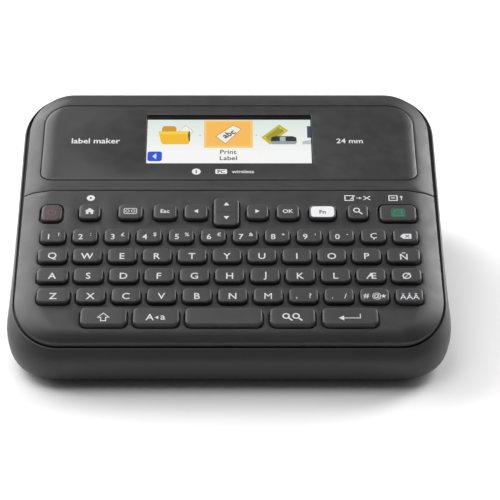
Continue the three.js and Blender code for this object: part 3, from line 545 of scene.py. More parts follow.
def latch_slide():
    """The thumb slide: a rounded block with five ribs across its top."""
    top, rib = LATCH["proud"], LATCH["rib"]
    block = shoulder_block(LATCH["half"], latch_along, (top - LATCH["depth"], top - rib), SLOT_CORNER)
    return gathered([block] + [
        shoulder_block(LATCH["half"] - 2, (step - rib, step + rib), (top - 0.5, top), 0.3)
        for step in np.linspace(-2.4, 2.4, 5)])


latch = mesh_object("latch_slide", *latch_slide())
soften(latch, 0.15)
fit(latch, satin_black, "cover_latch", "keys", "cover_latch")

# ---- Keyboard deck ---------------------------------------------------------------------
# One moulded plate that swells from the rim to a flat field. Each key has its own rounded
# well through the plate, and the plate's edge stops just short of the case.

DECK_RISE = 6.0
DECK_LIP = 1.0
DECK_INSET = GROOVE["inset"] + GROOVE["width"]
DECK_EDGE = {"side": 15.0, "front": 9.0, "rear": 12.3}
DECK_WALL = 2.5
DECK_FOOT = 0.35
SEAM_U = 95.2
SEAM_CORNER = 0.8
EDGE_ROUNDING = 0.35
WELL_ROUNDING = 0.3
KEY_CORNER = 2.6
SINGLE_KEYS = [
    "key_power", "key_home", "key_templates", "key_escape", "key_left", "key_up_down",
    "key_right", "key_ok", "key_function", "key_search", "key_print", "key_shift",
    "key_accent", "key_space", "key_preview", "key_enter",
]
KEY_ROWS = ["number_keys", "upper_letter_keys", "middle_letter_keys", "lower_letter_keys"]
LOW_KEYS = {"key_power", "key_print"}
CAP = {"gap": 0.5, "taper": 1.1}
LOW_CAP = {"gap": 1.0, "taper": 0.8}


def on_deck(points):
    """(across, up the slope, square to it) from the front rim's middle, turned into the
    frame's own axes."""
    across, up, out = np.asarray(points, float).T
    y = RIM_FRONT_Y + up * math.cos(SLOPE) - out * math.sin(SLOPE)
    z = RIM_FRONT_Z + up * math.sin(SLOPE) + out * math.cos(SLOPE)
    return np.column_stack([across, y, z])


def off_deck(points):
    """The reverse of on_deck."""
    x, y, z = np.asarray(points, float).T
    up = (y - RIM_FRONT_Y) * math.cos(SLOPE) + (z - RIM_FRONT_Z) * math.sin(SLOPE)
    out = -(y - RIM_FRONT_Y) * math.sin(SLOPE) + (z - RIM_FRONT_Z) * math.cos(SLOPE)
    return np.column_stack([x, up, out])


def pillow_height(x, u):
    """Height of the top shell: lip plus rise times 1 - (1 - t)^1.9, where t goes from 0 at
    the rim to 1 on the flat. In a corner, t is the ellipse ring that the point lies on."""
    across = np.abs(x)
    t = np.minimum((RIM_HALF - across) / DECK_EDGE["side"], 1)
    t = np.minimum(t, np.minimum(u / DECK_EDGE["front"], (RIM_LENGTH - u) / DECK_EDGE["rear"]))
    past_x = across - (RIM_HALF - RIM_CORNER[0])
    for past_u, edge in (
        (RIM_CORNER[1] - u, DECK_EDGE["front"]),
        (u - (RIM_LENGTH - RIM_CORNER[1]), DECK_EDGE["rear"]),
    ):
        low, high = np.zeros_like(across), np.ones_like(across)
        for _ in range(26):
            middle = (low + high) / 2
            radius_x = RIM_CORNER[0] - DECK_EDGE["side"] * middle
            radius_u = RIM_CORNER[1] - edge * middle
            within = (past_x / radius_x) ** 2 + (past_u / radius_u) ** 2 < 1
            low, high = np.where(within, middle, low), np.where(within, high, middle)
        t = np.where((past_x > 0) & (past_u > 0), low, t)
    t = np.clip(t, 0, 1)
    return DECK_LIP + (DECK_RISE - DECK_LIP) * (1 - (1 - t) ** 1.9)


def vertices_of(mesh):
    """A mesh's points as an array, one row to a point."""
    flat = np.zeros(len(mesh.vertices) * 3)
    mesh.vertices.foreach_get("co", flat)
    return flat.reshape(-1, 3)


def cap_plans(node):
    """Each key cap of a node as (x ends, u ends, top), read from its flat top's corners:
    along x the corners come in clusters, a left one and a right one to each cap."""
    deck_points = off_deck(vertices_of(nodes[node].data) / MM)
    top = deck_points[:, 2].max()
    tops = deck_points[deck_points[:, 2] > top - 0.02]
    x = np.unique(tops[:, 0].round(3))
    clusters = np.split(x, np.flatnonzero(np.diff(x) > 2.8) + 1)
    taper = (LOW_CAP if node in LOW_KEYS else CAP)["taper"]
    u = (tops[:, 1].min() - taper, tops[:, 1].max() + taper)
    return [((left.min() - taper, right.max() + taper), u, top)
            for left, right in zip(clusters[::2], clusters[1::2])]


def rounded_loop(x, u, corner, arc=6):
    """A function that gives a rounded rectangle's loop, grown by a distance."""
    def loop(grow):
        radius = (corner + grow, corner + grow)
        return rounded_outline((x[0] - grow, x[1] + grow), (u[0] - grow, u[1] + grow),
                               radius, radius, arc, ())[0]
    return loop


def well_loop(node, plan):
    """The loop of a key's well: its cap's outline grown by the gap."""
    gap = (LOW_CAP if node in LOW_KEYS else CAP)["gap"]
    (x0, x1), (u0, u1), _ = plan
    return rounded_loop((x0 - gap, x1 + gap), (u0 - gap, u1 + gap), KEY_CORNER + gap)


def inside(points, loop, margin):
    """Which points lie more than the margin inside a convex anticlockwise loop."""
    along = np.roll(loop, -1, 0) - loop
    length = np.linalg.norm(along, axis=1)
    loop, along, length = loop[length > 1e-6], along[length > 1e-6], length[length > 1e-6]
    offset = points[:, None] - loop[None]
    distance = (along[None, :, 0] * offset[..., 1] - along[None, :, 1] * offset[..., 0]) / length
    return (distance > margin).all(1)


def moulded_plate(rim, holes, fill, top, bottom, rim_rounding, hole_rounding):
    """A plate with holes, closed all round. The flat pattern, triangulated between the rim's
    and the holes' loops, is lifted to the top and bottom height functions. At each edge a
    quarter round, away = r (1 - sin a) and drop = r (1 - cos a), leads to the plain wall."""
    loops = [(rim, -1, rim_rounding)] + [(hole, 1, hole_rounding) for hole in holes]
    outlines = [loop(side * r) for loop, side, r in loops]
    keep = inside(fill, outlines[0], 0.4)
    for outline in outlines[1:]:
        keep &= ~inside(fill, outline, -0.5)
    pattern = np.vstack(outlines + [fill[keep]])
    starts = np.cumsum([0] + [len(outline) for outline in outlines])
    edges = []
    for start, outline in zip(starts, outlines):
        ring = start + np.arange(len(outline))
        edges += np.column_stack([ring, np.roll(ring, -1)]).tolist()
    flat, _, triangles, origins, _, _ = delaunay_2d_cdt(
        [Vector(point) for point in pattern], edges, [], 0, 1e-6)
    flat = np.array([point[:] for point in flat])
    triangles = np.array([triangle for triangle in triangles if len(triangle) == 3])
    middle = flat[triangles].mean(1)
    used = inside(middle, outlines[0], 0)
    for outline in outlines[1:]:
        used &= ~inside(middle, outline, 0)
    triangles = triangles[used]
    made_from = np.zeros(len(pattern), int)
    for index, sources in enumerate(origins):
        made_from[sources] = index
    count = len(flat)
    points = [np.column_stack([flat, top(*flat.T)]), np.column_stack([flat, bottom(*flat.T)])]
    faces = triangles.tolist() + (triangles[:, ::-1] + count).tolist()
    total = 2 * count
    for (loop, side, r), start, outline in zip(loops, starts, outlines):
        ring = made_from[start + np.arange(len(outline))]
        chain = [ring]
        for angle in np.radians([30, 60, 90]):
            edge = loop(side * r * (1 - math.sin(angle)))
            height = top(*edge.T) - r * (1 - math.cos(angle))
            points.append(np.column_stack([edge, height]))
            chain.append(total + np.arange(len(edge)))
            total += len(edge)
        points.append(np.column_stack([edge, np.minimum(bottom(*edge.T), height - 0.05)]))
        chain.append(total + np.arange(len(edge)))
        total += len(edge)
        chain.append(ring + count)
        for upper, lower in zip(chain, chain[1:]):
            quad = np.stack([lower, np.roll(lower, -1), np.roll(upper, -1), upper], -1)
            faces += (quad if side < 0 else quad[:, ::-1]).tolist()
    points = np.vstack(points)
    used_points = np.zeros(len(points), bool)
    used_points[np.concatenate([np.ravel(face) for face in faces])] = True
    renumber = np.cumsum(used_points) - 1
    return points[used_points], [renumber[face].tolist() for face in faces]


def shell_rim(grow, front_shell=True):
    """A top shell's edge: the case rim on its outer side and the straight seam between the
    two shells on the other."""
    out = grow - DECK_INSET
    u = (-out, SEAM_U - SEAM_GAP / 2 + grow)
    front, rear = tuple(radius + out for radius in RIM_CORNER), (SEAM_CORNER + grow,) * 2
    if not front_shell:
        u, front, rear = (SEAM_U + SEAM_GAP / 2 - grow, RIM_LENGTH + out), rear, front
    return rounded_outline((-RIM_HALF - out, RIM_HALF + out), u, front, rear, 16, even_cuts(22))[0]


ring_share = np.linspace(0.04, 1, 18)
rings_in = {name: ring_share * edge for name, edge in DECK_EDGE.items()}
pillow_fill = rounded_outline(
    (-RIM_HALF + rings_in["side"], RIM_HALF - rings_in["side"]),
    (rings_in["front"], RIM_LENGTH - rings_in["rear"]),
    (RIM_CORNER[0] - rings_in["side"], RIM_CORNER[1] - rings_in["front"]),
    (RIM_CORNER[0] - rings_in["side"], RIM_CORNER[1] - rings_in["rear"]),
    16, even_cuts(40)).reshape(-1, 2)
plans = {node: cap_plans(node) for node in SINGLE_KEYS + KEY_ROWS}
wells = [well_loop(node, plan) for node in plans for plan in plans[node]]


def underside(highest):
    """The height under a top shell: one wall below its top, up to a highest level."""
    return lambda x, u: np.clip(pillow_height(x, u) - DECK_WALL, DECK_FOOT, highest)


deck_points, deck_faces = moulded_plate(
    shell_rim, wells, pillow_fill, pillow_height, underside(DECK_RISE - DECK_WALL),
    EDGE_ROUNDING, WELL_ROUNDING)
deck = mesh_object("keyboard_shell", on_deck(deck_points), deck_faces, 36)
fit(deck, charcoal, "case", "case", "keyboard_deck")

# ---- Display housing and its panel -----------------------------------------------------
# The upper part of the top shell is its own moulding behind the seam. A smooth panel sits
# flush in it, with a fine groove all round and a window for the display.

PANEL = {"x": 89.2, "u": (102.4, RIM_LENGTH - 14.0), "corner": (6.0, 12.0)}
SCREEN = {"x": 39.9, "u": (113.9, RIM_LENGTH - 20.6), "corner": 0.8}
HOUSING_UNDERSIDE = 1.8
PANEL_UNDERSIDE = 2.1


def panel_loop(grow):
    """The panel's rounded outline, grown by a distance."""
    front, rear = ((radius + grow, radius + grow) for radius in PANEL["corner"])
    u = (PANEL["u"][0] - grow, PANEL["u"][1] + grow)
    across = (-PANEL["x"] - grow, PANEL["x"] + grow)
    return rounded_outline(across, u, front, rear, 12, even_cuts(24))[0]


housing_points, housing_faces = moulded_plate(
    lambda grow: shell_rim(grow, False), [lambda grow: panel_loop(SEAM_GAP + grow)],
    pillow_fill, pillow_height, underside(HOUSING_UNDERSIDE), EDGE_ROUNDING, EDGE_ROUNDING)
housing = mesh_object("display_shell", on_deck(housing_points), housing_faces, 36)
fit(housing, charcoal, "case", "case", "display_housing")

gloss = plastic("gloss_panel", (0.032, 0.032, 0.034), 0.36, grain=0.5, relief=0.004, worn=0.5)
screen_loop = rounded_loop((-SCREEN["x"], SCREEN["x"]), SCREEN["u"], SCREEN["corner"], 4)
panel_points, panel_faces = moulded_plate(
    panel_loop, [screen_loop], pillow_fill, pillow_height,
    lambda x, u: np.full(len(x), PANEL_UNDERSIDE), EDGE_ROUNDING, 0.2)
panel = mesh_object("display_fascia", on_deck(panel_points), panel_faces, 36)
fit(panel, gloss, "case", "panel", "display_panel")

# ---- Display ---------------------------------------------------------------------------
# A colour display with a black border and a lit picture: three menu pictures in a row, the
# middle one picked out on an orange tile, and a caption under it.

LCD_FACE = 5.5
LCD_UNDERSIDE = -3.5
LCD_STEP = 1.0
LCD_EDGE = 0.3
LCD_HALF = 44.9
LCD_MARGIN = 5.0
BLACK_BAR = 3.0
LAYER = 0.02


def linear(colour):
    """Display colour, 0 to 255, as linear light."""
    return tuple((np.array(colour) / 255.0) ** 2.2)


display_black = plastic(
    "display_black", (0.006, 0.006, 0.007), 0.2, grain=1.0, relief=0.001, worn=0.0)
lcd_front = rounded_outline(
    (-SCREEN["x"] + LCD_EDGE, SCREEN["x"] - LCD_EDGE),
    (SCREEN["u"][0] + LCD_EDGE, SCREEN["u"][1] - LCD_EDGE), (0.5, 0.5), (0.5, 0.5), 3, ())[0]
lcd_back = rounded_outline(
    (-LCD_HALF, LCD_HALF), (SCREEN["u"][0] - LCD_MARGIN, SCREEN["u"][1] + LCD_MARGIN),
    (1, 1), (1, 1), 3, ())[0]
display_points, display_faces = gathered([
    prism(lcd_front, (LCD_STEP, LCD_FACE)), prism(lcd_back, (LCD_UNDERSIDE, LCD_STEP))])
display = mesh_object("display_block", on_deck(display_points), display_faces)
soften(display, 0.15)
fit(display, display_black, "case", "screen", "lcd_module")


class Print:
    """Thin flat marks on the deck's plane, each in its own colour or the usual ink, gathered
    into one mesh. A mark is a closed prism from its level's height up, and each level is a
    hair higher."""

    def __init__(self, base, thickness, ink=None):
        self.base, self.thickness, self.ink = base, thickness, ink
        self.parts, self.colours = [], []

    def add(self, part, colour):
        self.parts.append(part)
        self.colours.append(colour or self.ink)

    def ends(self, level):
        low = self.base + level * LAYER
        return low, low + self.thickness

    def patch(self, outline, colour=None, level=0):
        self.add(prism(np.array(outline, float), self.ends(level)), colour)

    def stroke(self, path, width, colour=None, level=0, closed=False):
        self.add(stroke(np.array(path, float), width, self.ends(level), closed), colour)

    def text(self, words, size, at, colour=None, level=0, bold=0.0, turn=0.0):
        self.add(text_marks(words, size, at, self.ends(level), bold, turn), colour)

    def made(self, name, finish, body, slot):
        points, faces = gathered(self.parts)
        made = mesh_object(name, on_deck(points), faces, 20)
        shade = made.data.color_attributes.new("ink", "FLOAT_COLOR", "POINT")
        counts = [len(part[0]) for part in self.parts]
        ink = np.repeat(np.array([(*colour, 1.0) for colour in self.colours]), counts, 0)
        shade.data.foreach_set("color", ink.astype(np.float32).ravel())
        return fit(made, finish, body, slot)


def stroke(path, width, ends, closed):
    """A band of even width along a path: each point is pushed half a width to both sides,
    square to the mean direction there, and further at a bend so that the width holds."""
    ahead = np.roll(path, -1, 0) - path
    behind = path - np.roll(path, 1, 0)
    if not closed:
        ahead[-1], behind[0] = behind[-1], ahead[0]
    ahead /= np.linalg.norm(ahead, axis=1)[:, None]
    behind /= np.linalg.norm(behind, axis=1)[:, None]
    way = ahead + behind
    way /= np.linalg.norm(way, axis=1)[:, None]
    stretch = 1 / np.maximum((way * ahead).sum(1), 0.5)[:, None]
    square = np.column_stack([way[:, 1], -way[:, 0]]) * stretch * width / 2
    sides = [path + square, path - square]
    count = len(path)
    points = np.vstack([np.column_stack([side, np.full(count, end)])
                        for end in ends for side in sides])
    right, left, right_up, left_up = (np.arange(count) + k * count for k in range(4))
    pick = slice(None) if closed else slice(0, -1)
    faces = []
    for a, b in ((right_up, left_up), (left, right), (left_up, left), (right, right_up)):
        faces += np.stack([a, np.roll(a, -1), np.roll(b, -1), b], -1)[pick].tolist()
    if not closed:
        faces += [[right[0], right_up[0], left_up[0], left[0]],
                  [right[-1], left[-1], left_up[-1], right_up[-1]]]
    return points, faces


def text_marks(words, size, at, ends, bold, turn):
    """Words as thin solids, centred at a place on the deck's plane."""
    curve = bpy.data.curves.new("words", "FONT")
    curve.body = words
    curve.size = size
    curve.align_x, curve.align_y = "CENTER", "CENTER"
    curve.offset = bold
    curve.extrude = (ends[1] - ends[0]) / 2
    curve.resolution_u = 3
    holder = bpy.data.objects.new("words", curve)
    bpy.context.scene.collection.objects.link(holder)
    settled = bpy.context.evaluated_depsgraph_get()
    mesh = bpy.data.meshes.new_from_object(holder.evaluated_get(settled))
    points = vertices_of(mesh)
    middle = (points.min(0) + points.max(0)) / 2
    turned = points - middle
    c, s = math.cos(turn), math.sin(turn)
    placed = np.column_stack([
        at[0] + c * turned[:, 0] - s * turned[:, 1], at[1] + s * turned[:, 0] + c * turned[:, 1],
        (ends[0] + ends[1]) / 2 + turned[:, 2]])
    faces = [list(face.vertices) for face in mesh.polygons]
    bpy.data.objects.remove(holder)
    bpy.data.curves.remove(curve)
    bpy.data.meshes.remove(mesh)
    return placed, faces


def box_outline(x, u, corner=0.0):
    """A rectangle's outline, square or with round corners."""
    if corner:
        return rounded_outline(x, u, (corner, corner), (corner, corner), 3, ())[0]
    return np.array([[x[0], u[0]], [x[1], u[0]], [x[1], u[1]], [x[0], u[1]]])


def lit_ink(name, glow):
    """Lit picture: the ink colour of each mark shines by itself, under a thin gloss, with
    the display's fine rows of cells as a faint change in the glow."""
    made, tree, shader, place = new_finish(name)
    ink = wire(tree, "Attribute").outputs["Color"]
    ink.node.attribute_name = "ink"
    shown = blend(tree, mottle(tree, place, 0.35), (0.94, 0.94, 0.94), (1.0, 1.0, 1.0))
    product = tree.nodes.new("ShaderNodeMix")
    product.data_type, product.blend_type = "RGBA", "MULTIPLY"
    product.inputs[0].default_value = 1.0
    tree.links.new(ink, product.inputs[6])
    tree.links.new(shown, product.inputs[7])
    feed(shader, Emission_Color=product.outputs[2], Emission_Strength=glow)
    feed(shader, Base_Color=(0.02, 0.02, 0.02, 1), Roughness=0.3)
    return made


picture_x = (-SCREEN["x"] + 0.45, SCREEN["x"] - 0.45)
picture_u = (SCREEN["u"][0] + 0.4, SCREEN["u"][1] - BLACK_BAR)
picture_size = np.array([picture_x[1] - picture_x[0], picture_u[1] - picture_u[0]])


def shown_at(points):
    """Places in the picture, as shares across and down, on the deck's plane."""
    points = np.array(points, float)
    return np.column_stack([
        picture_x[0] + points[:, 0] * picture_size[0], picture_u[1] - points[:, 1] * picture_size[1]])


picture = Print(LCD_FACE + 0.005, 0.015)
picture.patch(box_outline(picture_x, picture_u), linear((252, 253, 252)))
for band in range(7):
    ends = shown_at([(0, band * 0.1), (1, band * 0.1 + 0.1)])
    tone = 1 - band / 7
    picture.patch(
        box_outline(ends[:, 0], ends[::-1, 1]),
        linear((252 - 26 * tone, 253 - 14 * tone, 252 - 22 * tone)), 1)


def shape(outline, colour, level):
    """One flat shape of the picture, given clockwise as seen on the display."""
    placed = shown_at(outline)
    picture.patch(placed[::-1], linear(colour), level)
    return placed


def tile(corners, corner, colour, level):
    """A level rectangle of the picture between two opposite corners."""
    ends = shown_at(corners)
    picture.patch(box_outline(ends[:, 0], ends[::-1, 1], corner), linear(colour), level)


# The folder, with a sheet standing in it.
shape([(.088, .36), (.09, .19), (.1, .15), (.165, .15), (.178, .19), (.178, .36)], (214, 150, 20), 2)
sheet = shape([(.19, .3), (.232, .13), (.282, .27), (.25, .42)], (246, 248, 248), 2)
picture.stroke(sheet, 0.16, linear((120, 130, 135)), 3, closed=True)
shape([(.068, .27), (.262, .27), (.262, .5), (.25, .57), (.095, .57), (.085, .52)], (250, 190, 8), 4)
shape([(.072, .28), (.255, .28), (.255, .34), (.078, .34)], (255, 214, 60), 5)
shape([(.247, .3), (.262, .27), (.262, .5), (.255, .5)], (90, 60, 20), 5)
# The picked tile, with a lettered tag and its caption, and an arrowhead on each side.
tile([(.347, .015), (.646, .65)], 0.4, (255, 205, 120), 2)
tile([(.362, .05), (.631, .6)], 0.4, (255, 190, 84), 3)
tag = shape([(.42, .39), (.525, .13), (.575, .22), (.478, .56)], (248, 244, 232), 4)
picture.stroke(tag, 0.22, linear((70, 70, 75)), 5, closed=True)
picture.text("abc", 5.0, shown_at([(.498, .33)])[0], linear((50, 50, 55)), 5, 0.12, 0.66)
for words, down in (("Print", .745), ("Label", .885)):
    picture.text(words, 4.1, shown_at([(.496, down)])[0], linear((48, 50, 54)), 2, 0.05)
for arrow_x, side in ((.322, -1), (.668, 1)):
    middle = shown_at([(arrow_x, .36)])[0]
    picture.patch((middle + np.array([(-.25, -.5), (.25, 0), (-.25, .5)]) * (side, 1))[::side],
                  linear((90, 96, 100)), 2)
# A strip of tape over a small printer, and the edge of the next picture.
shape([(.697, .41), (.808, .11), (.862, .25), (.75, .58)], (196, 186, 40), 2)
shape([(.72, .41), (.806, .18), (.838, .26), (.752, .49)], (160, 152, 24), 3)
for spot in ((.722, .42), (.815, .2), (.84, .26)):
    picture.patch(disc(shown_at([spot])[0], 0.4, 10), linear((236, 226, 120)), 4)
shape([(.752, .5), (.918, .5), (.905, .57), (.76, .57)], (150, 160, 160), 4)
shape([(.755, .5), (.76, .41), (.78, .385), (.89, .385), (.912, .42), (.912, .5)], (26, 30, 34), 5)
shape([(.81, .4), (.845, .4), (.845, .5), (.81, .5)], (170, 184, 184), 6)
shape([(.978, .15), (1, .15), (1, .42), (.978, .42)], (58, 66, 104), 2)
shape([(.945, .5), (1, .47), (1, .57), (.95, .57)], (190, 198, 198), 2)
# The blue badge in the corner.
tile([(.006, .735), (.094, .955)], 1.2, (10, 70, 214), 2)
shape([(.06, .915), (.06, .775), (.035, .845)], (205, 232, 255), 3)
lit_picture = lit_ink("lit_picture", 0.92)
picture.made("display_picture", lit_picture, "case", "screen")

# ---- Key caps --------------------------------------------------------------------------
# Moulded caps with straight skirts, a rolled shoulder and a slightly domed top. The sixteen
# control keys are single caps, and each row of characters shares one key mat.

CAP_SKIRT = 2.7
SKIRT_TOP = 2.6
MAT_LEVELS = (2.2, 3.2)
MAT_CORNER = 0.8
CORNER_SHRINK = 0.55
LEAST_CORNER = 0.5
SHOULDER = [
    (0.0, -1.1), (0.02, -0.85), (0.09, -0.6), (0.22, -0.4), (0.4, -0.25), (0.65, -0.15),
    (1.0, -0.09), (1.6, -0.05), (2.4, -0.02), (3.3, 0.0),
]


def key_cap(plan, skirt=CAP_SKIRT):
    """Rounded rectangles stacked up the skirt and over the shoulder: each ring is drawn in
    and dropped from the top as the shoulder's profile says."""
    (x0, x1), (u0, u1), top = plan
    drawn_in = np.array([0.0, 0.0] + [ring[0] for ring in SHOULDER])
    height = np.array([skirt, top - SKIRT_TOP] + [top + ring[1] for ring in SHOULDER])
    corner = np.maximum(KEY_CORNER - CORNER_SHRINK * drawn_in, LEAST_CORNER)
    outline = rounded_outline((x0 + drawn_in, x1 - drawn_in), (u0 + drawn_in, u1 - drawn_in),
                              (corner, corner), (corner, corner), 6, (0.15, 0.5, 0.85))
    levels = np.broadcast_to(height[:, None, None], (*outline.shape[:2], 1))
    return skin(np.concatenate([outline, levels], -1))


def flange(x, u):
    """The thin rubber mat round a cap, under the deck."""
    return prism(box_outline(x, u, MAT_CORNER), MAT_LEVELS)


power_plum = plastic("power_key_plastic", (0.06, 0.036, 0.042), 0.5, grain=0.2, relief=0.008, worn=0.3)
for node in SINGLE_KEYS:
    plan = plans[node][0]
    (x0, x1), (u0, u1), _ = plan
    if node == "key_up_down":
        parts = [key_cap(plan, MAT_LEVELS[0])]
    else:
        reach = (LOW_CAP if node in LOW_KEYS else CAP)["gap"] + 0.4
        parts = [key_cap(plan), flange((x0 - reach, x1 + reach), (u0 - reach, u1 + reach))]
    points, faces = gathered(parts)
    made = mesh_object(node + "_cap", on_deck(points), faces, 50)
    fit(made, power_plum if node == "key_power" else satin_black, node, "keys", node)
for node in KEY_ROWS:
    row = plans[node]
    web = flange((row[0][0][0] - CAP["gap"], row[-1][0][1] + CAP["gap"]),
                 (row[0][1][0] - CAP["gap"], row[0][1][1] + CAP["gap"]))
    points, faces = gathered([web] + [key_cap(plan) for plan in row])
    made = mesh_object(node + "_caps", on_deck(points), faces, 50)
    fit(made, satin_black, node, "keys", node)

# ---- Key legends -----------------------------------------------------------------------
# Pad-printed white marks on the key tops: characters, arrows and small signs. Each key's
# marks ride with it.

LEGEND_DEPTH = 0.14
LEGEND_PROUD = 0.02
WHITE_INK = (0.74, 0.74, 0.76)
GREY_INK = (0.06, 0.06, 0.07)
INLAY_WHITE = (0.9, 0.9, 0.92)
LETTER_SIZE = 5.3
DIGIT_SIZE = 4.7
SIGN_SIZE = 3.1
WORD_SIZE = 3.3
LETTER_BOLD = 0.05
LEGEND_RAISED = {"control": -0.2, "letter": -1.0}
FUNCTION_ROW = SINGLE_KEYS[:11]
LETTERS = {
    "upper_letter_keys": "QWERTYUIOPÑ",
    "middle_letter_keys": "ASDFGHJKLÆØ",
    "lower_letter_keys": "ZXCVBNM",
}
DIGITS, SIGNS = "1234567890", "!:£$%€&*'-"


def printed_ink(name):
    """Printed marks: the ink colour of each mark, with a fine mottle where it is thin."""
    made, tree, shader, place = new_finish(name)
    ink = wire(tree, "Attribute").outputs["Color"]
    ink.node.attribute_name = "ink"
    thin = spread(tree, noise(tree, place, 0.5), 0.35, 0.65, 0.0, 0.12)
    worn = blend(tree, thin, (0, 0, 0), (0.05, 0.05, 0.05))
    tree.links.new(ink, worn.node.inputs[6])
    feed(shader, Base_Color=worn, Roughness=mottle(tree, place, 2, 0.42, 0.52))
    return made


legend_ink = printed_ink("legend_ink")


def middle_of(plan, row="letter"):
    """Where a cap's mark is centred: the cap's middle, moved up the slope by its row."""
    (x0, x1), (u0, u1), _ = plan
    return np.array([(x0 + x1) / 2, (u0 + u1) / 2 + LEGEND_RAISED[row]])


def printed_on(height, ink=WHITE_INK):
    """Marks let into a surface at that height, with only a hair of each standing proud."""
    return Print(height + LEGEND_PROUD - LEGEND_DEPTH, LEGEND_DEPTH, ink)


def arc_path(centre, r, start, stop, steps=20):
    """An arc between two angles in degrees."""
    return on_circle(centre, r, np.radians(np.linspace(start, stop, steps)))


def arrowhead(tip, size, way):
    """A triangle whose tip points along the way."""
    way = np.array(way, float)
    across = np.array([way[1], -way[0]])
    foot, half = np.array(tip, float) - size * way, size * 0.62 * across
    return np.array([foot + half, foot - half, tip])


def magnifier(marks, centre, size):
    """A ring with a short handle to its lower right."""
    ring = centre + np.array([-0.18, 0.18]) * size
    marks.stroke(arc_path(ring, 0.36 * size, 0, 342), 0.17 * size, closed=True)
    handle = np.array([0.28, -0.28]) * size, np.array([0.72, -0.72]) * size
    marks.stroke([ring + end for end in handle], 0.2 * size)


def draw_power(marks, at):
    """A broken ring and a short upright in its gap."""
    red = (0.2, 0.055, 0.075)
    marks.stroke(arc_path(at, 1.7, 120, 420), 0.4, red)
    marks.stroke([at + (0, 0.3), at + (0, 2.3)], 0.42, red)


def draw_home(marks, at):
    """A roof over two walls and a lintel."""
    marks.patch(at + np.array([(-2.3, 0.0), (2.3, 0.0), (0, 2.1)]))
    for side in (-1, 1):
        x = sorted((side * 0.5, side * 1.7))
        marks.patch(at + box_outline(x, (-1.9, 0.1)))
    marks.patch(at + box_outline((-0.6, 0.6), (-0.7, 0.1)))


def draw_templates(marks, at):
    """A frame with two small rings in it."""
    marks.stroke(at + box_outline((-2.9, 2.9), (-1.6, 1.8), 0.5), 0.34, closed=True)
    for side in (-1, 1):
        marks.stroke(arc_path(at + (side * 1.35, 0.1), 0.85, 0, 342), 0.3, closed=True)


def draw_up_down(marks, at):
    """An arrowhead at each end and a dark line across the middle."""
    marks.patch(arrowhead(at + (0, 5.9), 2.1, (0, 1)))
    marks.patch(arrowhead(at + (0, -5.4), 2.1, (0, -1)))
    marks.patch(at + box_outline((-4.3, 4.3), (-0.75, -0.45)), (0.004, 0.004, 0.004))


def draw_shift(marks, at):
    """The outline of a broad upward arrow."""
    path = [(-1.1, -2.2), (1.1, -2.2), (1.1, -0.1), (2.5, -0.1), (0, 2.4), (-2.5, -0.1), (-1.1, -0.1)]
    marks.stroke(at + np.array(path), 0.45, closed=True)


def draw_accent(marks, at):
    """A capital and a small letter with an arrowhead between them."""
    marks.text("A", LETTER_SIZE, at + (-2.7, 0), bold=LETTER_BOLD)
    marks.patch(arrowhead(at + (-0.5, -0.2), 1.6, (-1, 0)))
    marks.text("a", LETTER_SIZE, at + (3.1, -0.3), bold=LETTER_BOLD)


def draw_enter(marks, at):
    """A line down and to the left that ends in an arrowhead."""
    marks.stroke([at + (4.4, 2.0), at + (4.4, -0.5), at + (-3.2, -0.5)], 0.42)
    marks.patch(arrowhead(at + (-5.2, -0.5), 2.4, (-1, 0)))


def draw_print(marks, at):
    """A green patch with a sheet over a printer in pale green lines."""
    green, pale_green = (0.018, 0.13, 0.075), (0.06, 0.26, 0.17)
    marks.patch(at + box_outline((-3.3, 3.3), (-3.1, 2.7), 1.2), green)
    marks.stroke(at + box_outline((-1.6, 1.6), (-0.4, 1.6)), 0.3, pale_green, 1, True)
    marks.stroke(at + box_outline((-2.2, 2.2), (-2.0, -0.4), 0.3), 0.3, pale_green, 1, True)


def draw_function(marks, at):
    """A white inlay over the whole flat of the cap, with the grey word on it."""
    (x0, x1), (u0, u1), top = plans["key_function"][0]
    inlay = box_outline((x0 + 0.8, x1 - 0.8), (u0 + 0.9, u1 - 1.9), 1.6)
    marks.add(prism(inlay, (top - 0.6, top + LEGEND_PROUD)), INLAY_WHITE)
    marks.text("Fn", WORD_SIZE, at - (0, 0.5), GREY_INK, 1, 0.08)


KEY_MARKS = {
    "key_power": draw_power,
    "key_home": draw_home,
    "key_templates": draw_templates,
    "key_escape": lambda marks, at: marks.text("Esc", WORD_SIZE, at, bold=0.07),
    "key_left": lambda marks, at: marks.patch(arrowhead(at + (-1.0, 0), 2.0, (-1, 0))),
    "key_up_down": draw_up_down,
    "key_right": lambda marks, at: marks.patch(arrowhead(at + (1.0, 0), 2.0, (1, 0))),
    "key_ok": lambda marks, at: marks.text("OK", WORD_SIZE, at, bold=0.07),
    "key_function": draw_function,
    "key_search": lambda marks, at: magnifier(marks, at, 3.6),
    "key_print": draw_print,
    "key_shift": draw_shift,
    "key_accent": draw_accent,
    "key_preview": lambda marks, at: [magnifier(marks, at + (side * 2.2, 0), 3.8)
                                      for side in (-1, 1)],
    "key_enter": draw_enter,
}
for node, draw in KEY_MARKS.items():
    marks = printed_on(plans[node][0][2])
    draw(marks, middle_of(plans[node][0], "control" if node in FUNCTION_ROW else "letter"))
    marks.made(node + "_legend", legend_ink, node, "white_key")


def draw_delete(marks, at):
    """A tag that points left, with a dark cross on it."""
    body = np.array([(-2.6, 0), (-1.1, -1.6), (2.6, -1.6), (2.6, 1.6), (-1.1, 1.6)])
    marks.patch(at + body)
    for side in (-1, 1):
        marks.stroke([at + (-0.1, -0.85 * side), at + (1.6, 0.85 * side)], 0.36, (0.03, 0.03, 0.03), 1)


